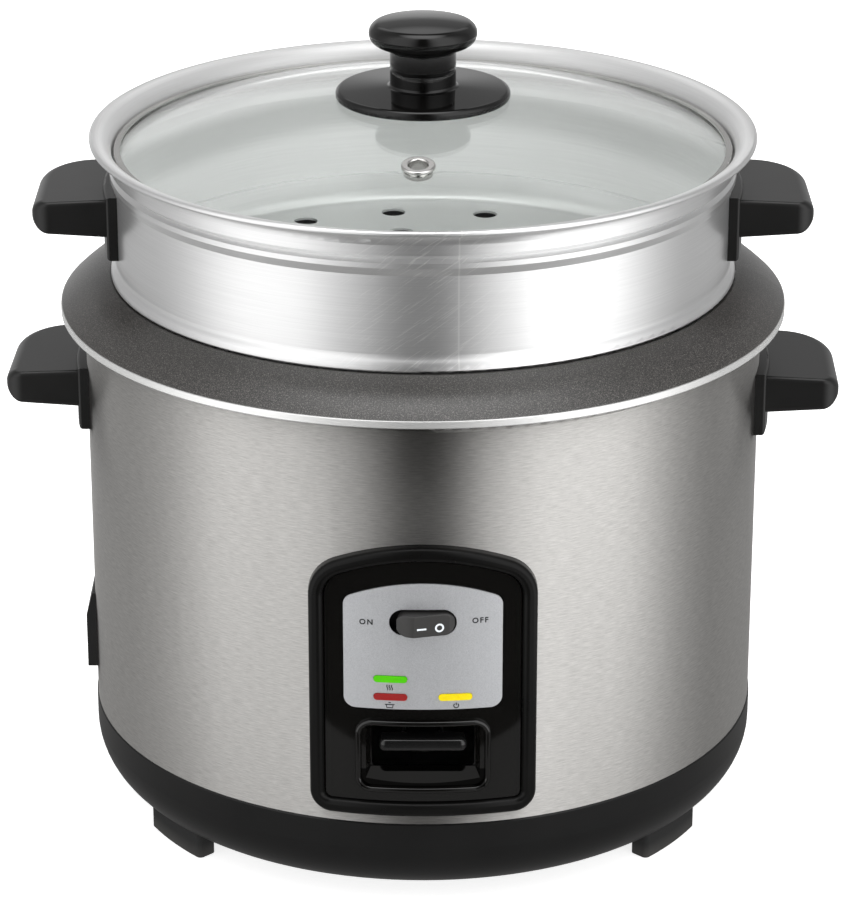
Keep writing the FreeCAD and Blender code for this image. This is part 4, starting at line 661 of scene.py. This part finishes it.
# Painted light and shade: the inner wall is brightened below the neck and darkened above it, and the floor
# is darkened.
inner_painted_light_and_shade = spread(tree, axes["Z"], NECK_PAINTED_LIGHT, RIM_PAINTED_SHADE, NECK_LOW, NECK_HIGH)
wall_painted_light_and_shade = between(tree, inside, 1.0, inner_painted_light_and_shade)
painted_light_and_shade = between(tree, bottom, wall_painted_light_and_shade, FLOOR_PAINTED_SHADE)
turning = spread(tree, spun["Bands"], 0.27, 0.33)
wear(tree, shader,
     Base_Color=mixed(tree, 1.0, skin, painted_light_and_shade, blend_type="MULTIPLY"),
     Metallic=spread(tree, facing, 0.2, 0.87, -0.4, 0.0),
     Roughness=compute(tree, "MULTIPLY_ADD", marked, SCUFF_ROUGHNESS, turning),
     Normal=relief(tree, spun["Lines"], 0.000004))

# Lid band and steam eyelet
# The band is a stainless strip folded over the edge of the glass, and the eyelet is pressed into the
# steam hole. Both are polished bright.
grained("lid_steel", 1800.0, (0.62, 0.61, 0.595), (0.70, 0.69, 0.675), (0.14, 0.22), Metallic=1.0)

# Lid glass
# A domed disc of tempered soda-lime glass, pressed hot, faintly green in its thickness.
# Shadow rays pass straight through it, so that the steamer's floor is lit as it would be.
GLASS_SHADOW = (0.965, 0.985, 0.972, 1.0)
tree, shader = finish("clear_glass", Transmission_Weight=1.0, IOR=1.5, Metallic=0.0)
grain = use(tree, moulding_grain, Fineness=300.0)
wear(tree, shader,
     Base_Color=shades(tree, grain["Patches"], (0.96, 0.982, 0.968), (0.972, 0.99, 0.978)),
     Roughness=spread(tree, grain["Patches"], 0.0, 0.008))
clear = place(tree, "ShaderNodeBsdfTransparent", {"Color": GLASS_SHADOW}).outputs["BSDF"]
shadow = place(tree, "ShaderNodeLightPath").outputs["Is Shadow Ray"]
joined = place(tree, "ShaderNodeMixShader", {0: shadow, 1: shader.outputs["BSDF"], 2: clear})
tree.links.new(joined.outputs["Shader"], tree.nodes["Material Output"].inputs["Surface"])

# Knob
# A gloss black phenolic knob in two mouldings, a broad foot and a grip, drawn together by one screw.
# It is polished like a mirror, with only faint wiping marks.
grained("knob_plastic", 500.0, (0.0035, 0.0034, 0.0034), (0.005, 0.0048, 0.0046),
        (0.04, 0.08), Specular_IOR_Level=0.36)

# Studio
# A pale floor, two tall soft boxes left and right of the camera with a dark gap between them that widens
# low down, a bright ceiling, and a backdrop in paler and darker bands. A dim table top is there for
# reflections alone. Turns are in degrees from the camera, and heights are shares of straight up.
BOX_GAIN = 1.45
BOX_TURNS = (
    (-180.0, 0.29), (-160.0, 0.29), (-140.0, 0.29), (-112.0, 0.32), (-95.0, 0.46), (-81.0, 0.71),
    (-69.0, 1.02), (-57.0, 1.02), (-46.0, 1.0), (-35.0, 0.95), (-25.0, 0.72), (-15.0, 0.3), (-7.0, 0.005),
    (7.0, 0.005), (14.0, 0.3), (24.0, 0.98), (35.0, 1.34), (45.0, 1.37), (67.0, 1.22), (80.0, 0.82),
    (93.0, 0.45), (109.0, 0.24), (128.0, 0.28), (150.0, 0.24), (165.0, 0.22), (180.0, 0.29),
)
LOW_TURNS = (
    (-180.0, 0.3), (-145.0, 0.28), (-112.0, 0.3), (-97.0, 0.45), (-82.0, 0.84), (-46.0, 0.84),
    (-34.0, 0.01), (34.0, 0.01), (46.0, 1.05), (78.0, 1.0), (94.0, 0.5), (110.0, 0.28), (145.0, 0.26),
    (180.0, 0.3),
)
LOW_FROM = -0.385
LOW_TO = -0.33
BOX_HEIGHTS = ((-1.0, 0.4), (-0.75, 0.4), (-0.65, 1.0), (1.0, 1.0))
PANEL_FROM = 146.0
PANEL_TO = 160.0
PANEL_HEIGHTS = (
    (-1.0, 1.0), (-0.35, 1.0), (-0.25, 2.0), (0.2, 2.0), (0.3, 0.85), (0.42, 0.85), (0.5, 2.2),
    (0.66, 2.2), (0.73, 0.2), (0.86, 0.2), (0.95, 1.0),
)
CEILING = (2.5, 2.5, 2.5, 1.0)
CEILING_FROM = 0.88
CEILING_TO = 0.98
BACKDROP = (0.96, 0.96, 0.955, 1.0)
TABLE_FRONT = -0.279
TABLE_BACK = 0.26
TABLE_HALF = 0.26
TABLE_HEIGHT = -0.0005
TABLE_GLOW = 0.31
TABLE_COLOUR = (1.0, 0.99, 0.98, 1.0)
FLOOR_HALF = 6.0
FLOOR_COLOUR = (0.86, 0.86, 0.855, 1.0)
FLOOR_GLOW = 0.8
WHITE = (1.0, 1.0, 1.0, 1.0)
CAMERA_PLACE = (0.0004, -1.4074, 0.7046)
CAMERA_DIP = 21.80
CAMERA_LENS = 148.84
CAMERA_SENSOR = 36.0


def levels(tree, value, low, high, stops):
    """Turns a value between low and high into a grey level, from pairs of a value and a level."""
    share = spread(tree, value, 0.0, 1.0, low, high)
    return ramp(tree, share, *[((at - low) / (high - low), (level,) * 3) for at, level in stops])


def flat_sheet(name, left, right, near, far, height, material):
    """A level sheet of the studio, which is no part of the object."""
    mesh = bpy.data.meshes.new(name)
    corners = [(left, near, height), (right, near, height), (right, far, height), (left, far, height)]
    mesh.from_pydata(corners, [], [(0, 1, 2, 3)])
    mesh.materials.append(material)
    sheet = bpy.data.objects.new(name, mesh)
    bpy.context.scene.collection.objects.link(sheet)
    return sheet


world = bpy.data.worlds.new("studio")
world.use_nodes = True
bpy.context.scene.world = world
tree = world.node_tree
background = tree.nodes["Background"]
sight = place(tree, "ShaderNodeTexCoord").outputs["Generated"]
axes = place(tree, "ShaderNodeSeparateXYZ", {"Vector": sight}).outputs
turn = compute(tree, "DEGREES", bearing(tree, axes))
high_boxes = levels(tree, turn, -180.0, 180.0, BOX_TURNS)
low_boxes = levels(tree, turn, -180.0, 180.0, LOW_TURNS)
lowness = spread(tree, axes["Z"], 1.0, 0.0, LOW_FROM, LOW_TO)
boxes = mixed(tree, lowness, high_boxes, low_boxes)
walls = mixed(tree, 1.0, boxes, levels(tree, axes["Z"], -1.0, 1.0, BOX_HEIGHTS), blend_type="MULTIPLY")
behind = spread(tree, compute(tree, "ABSOLUTE", turn), 0.0, 1.0, PANEL_FROM, PANEL_TO)
room = mixed(tree, behind, walls, levels(tree, axes["Z"], -1.0, 1.0, PANEL_HEIGHTS), blend_type="MULTIPLY")
overhead = spread(tree, axes["Z"], 0.0, 1.0, CEILING_FROM, CEILING_TO)
tree.links.new(mixed(tree, overhead, room, CEILING), background.inputs["Color"])
background.inputs["Strength"].default_value = BOX_GAIN
plain = place(tree, "ShaderNodeBackground", {"Color": BACKDROP, "Strength": 1.0})
seen = place(tree, "ShaderNodeLightPath").outputs["Is Camera Ray"]
joined = place(tree, "ShaderNodeMixShader", {0: seen, 1: background.outputs[0], 2: plain.outputs[0]})
tree.links.new(joined.outputs["Shader"], tree.nodes["World Output"].inputs["Surface"])

pale, _, _ = new_material("pale_floor", Base_Color=FLOOR_COLOUR, Roughness=0.9,
                          Emission_Color=WHITE, Emission_Strength=FLOOR_GLOW)
floor = flat_sheet("studio_floor", -FLOOR_HALF, FLOOR_HALF, -FLOOR_HALF, FLOOR_HALF, 0.0, pale)
floor.visible_glossy = False

glow, tree, _ = new_material("table_glow")
lamp = place(tree, "ShaderNodeEmission", {"Color": TABLE_COLOUR, "Strength": TABLE_GLOW})
tree.links.new(lamp.outputs["Emission"], tree.nodes["Material Output"].inputs["Surface"])
table = flat_sheet("studio_table", -TABLE_HALF, TABLE_HALF, TABLE_FRONT, TABLE_BACK, TABLE_HEIGHT, glow)
table.visible_camera = False
table.visible_diffuse = False
table.visible_transmission = False
table.visible_shadow = False

eye = bpy.data.cameras.new("photo_camera")
eye.lens = CAMERA_LENS
eye.sensor_width = CAMERA_SENSOR
camera = bpy.data.objects.new("photo_camera", eye)
bpy.context.scene.collection.objects.link(camera)
camera.location = CAMERA_PLACE
camera.rotation_euler = (math.radians(90.0 - CAMERA_DIP), 0.0, 0.0)
bpy.context.scene.camera = camera
bpy.context.scene.view_settings.view_transform = "Standard"
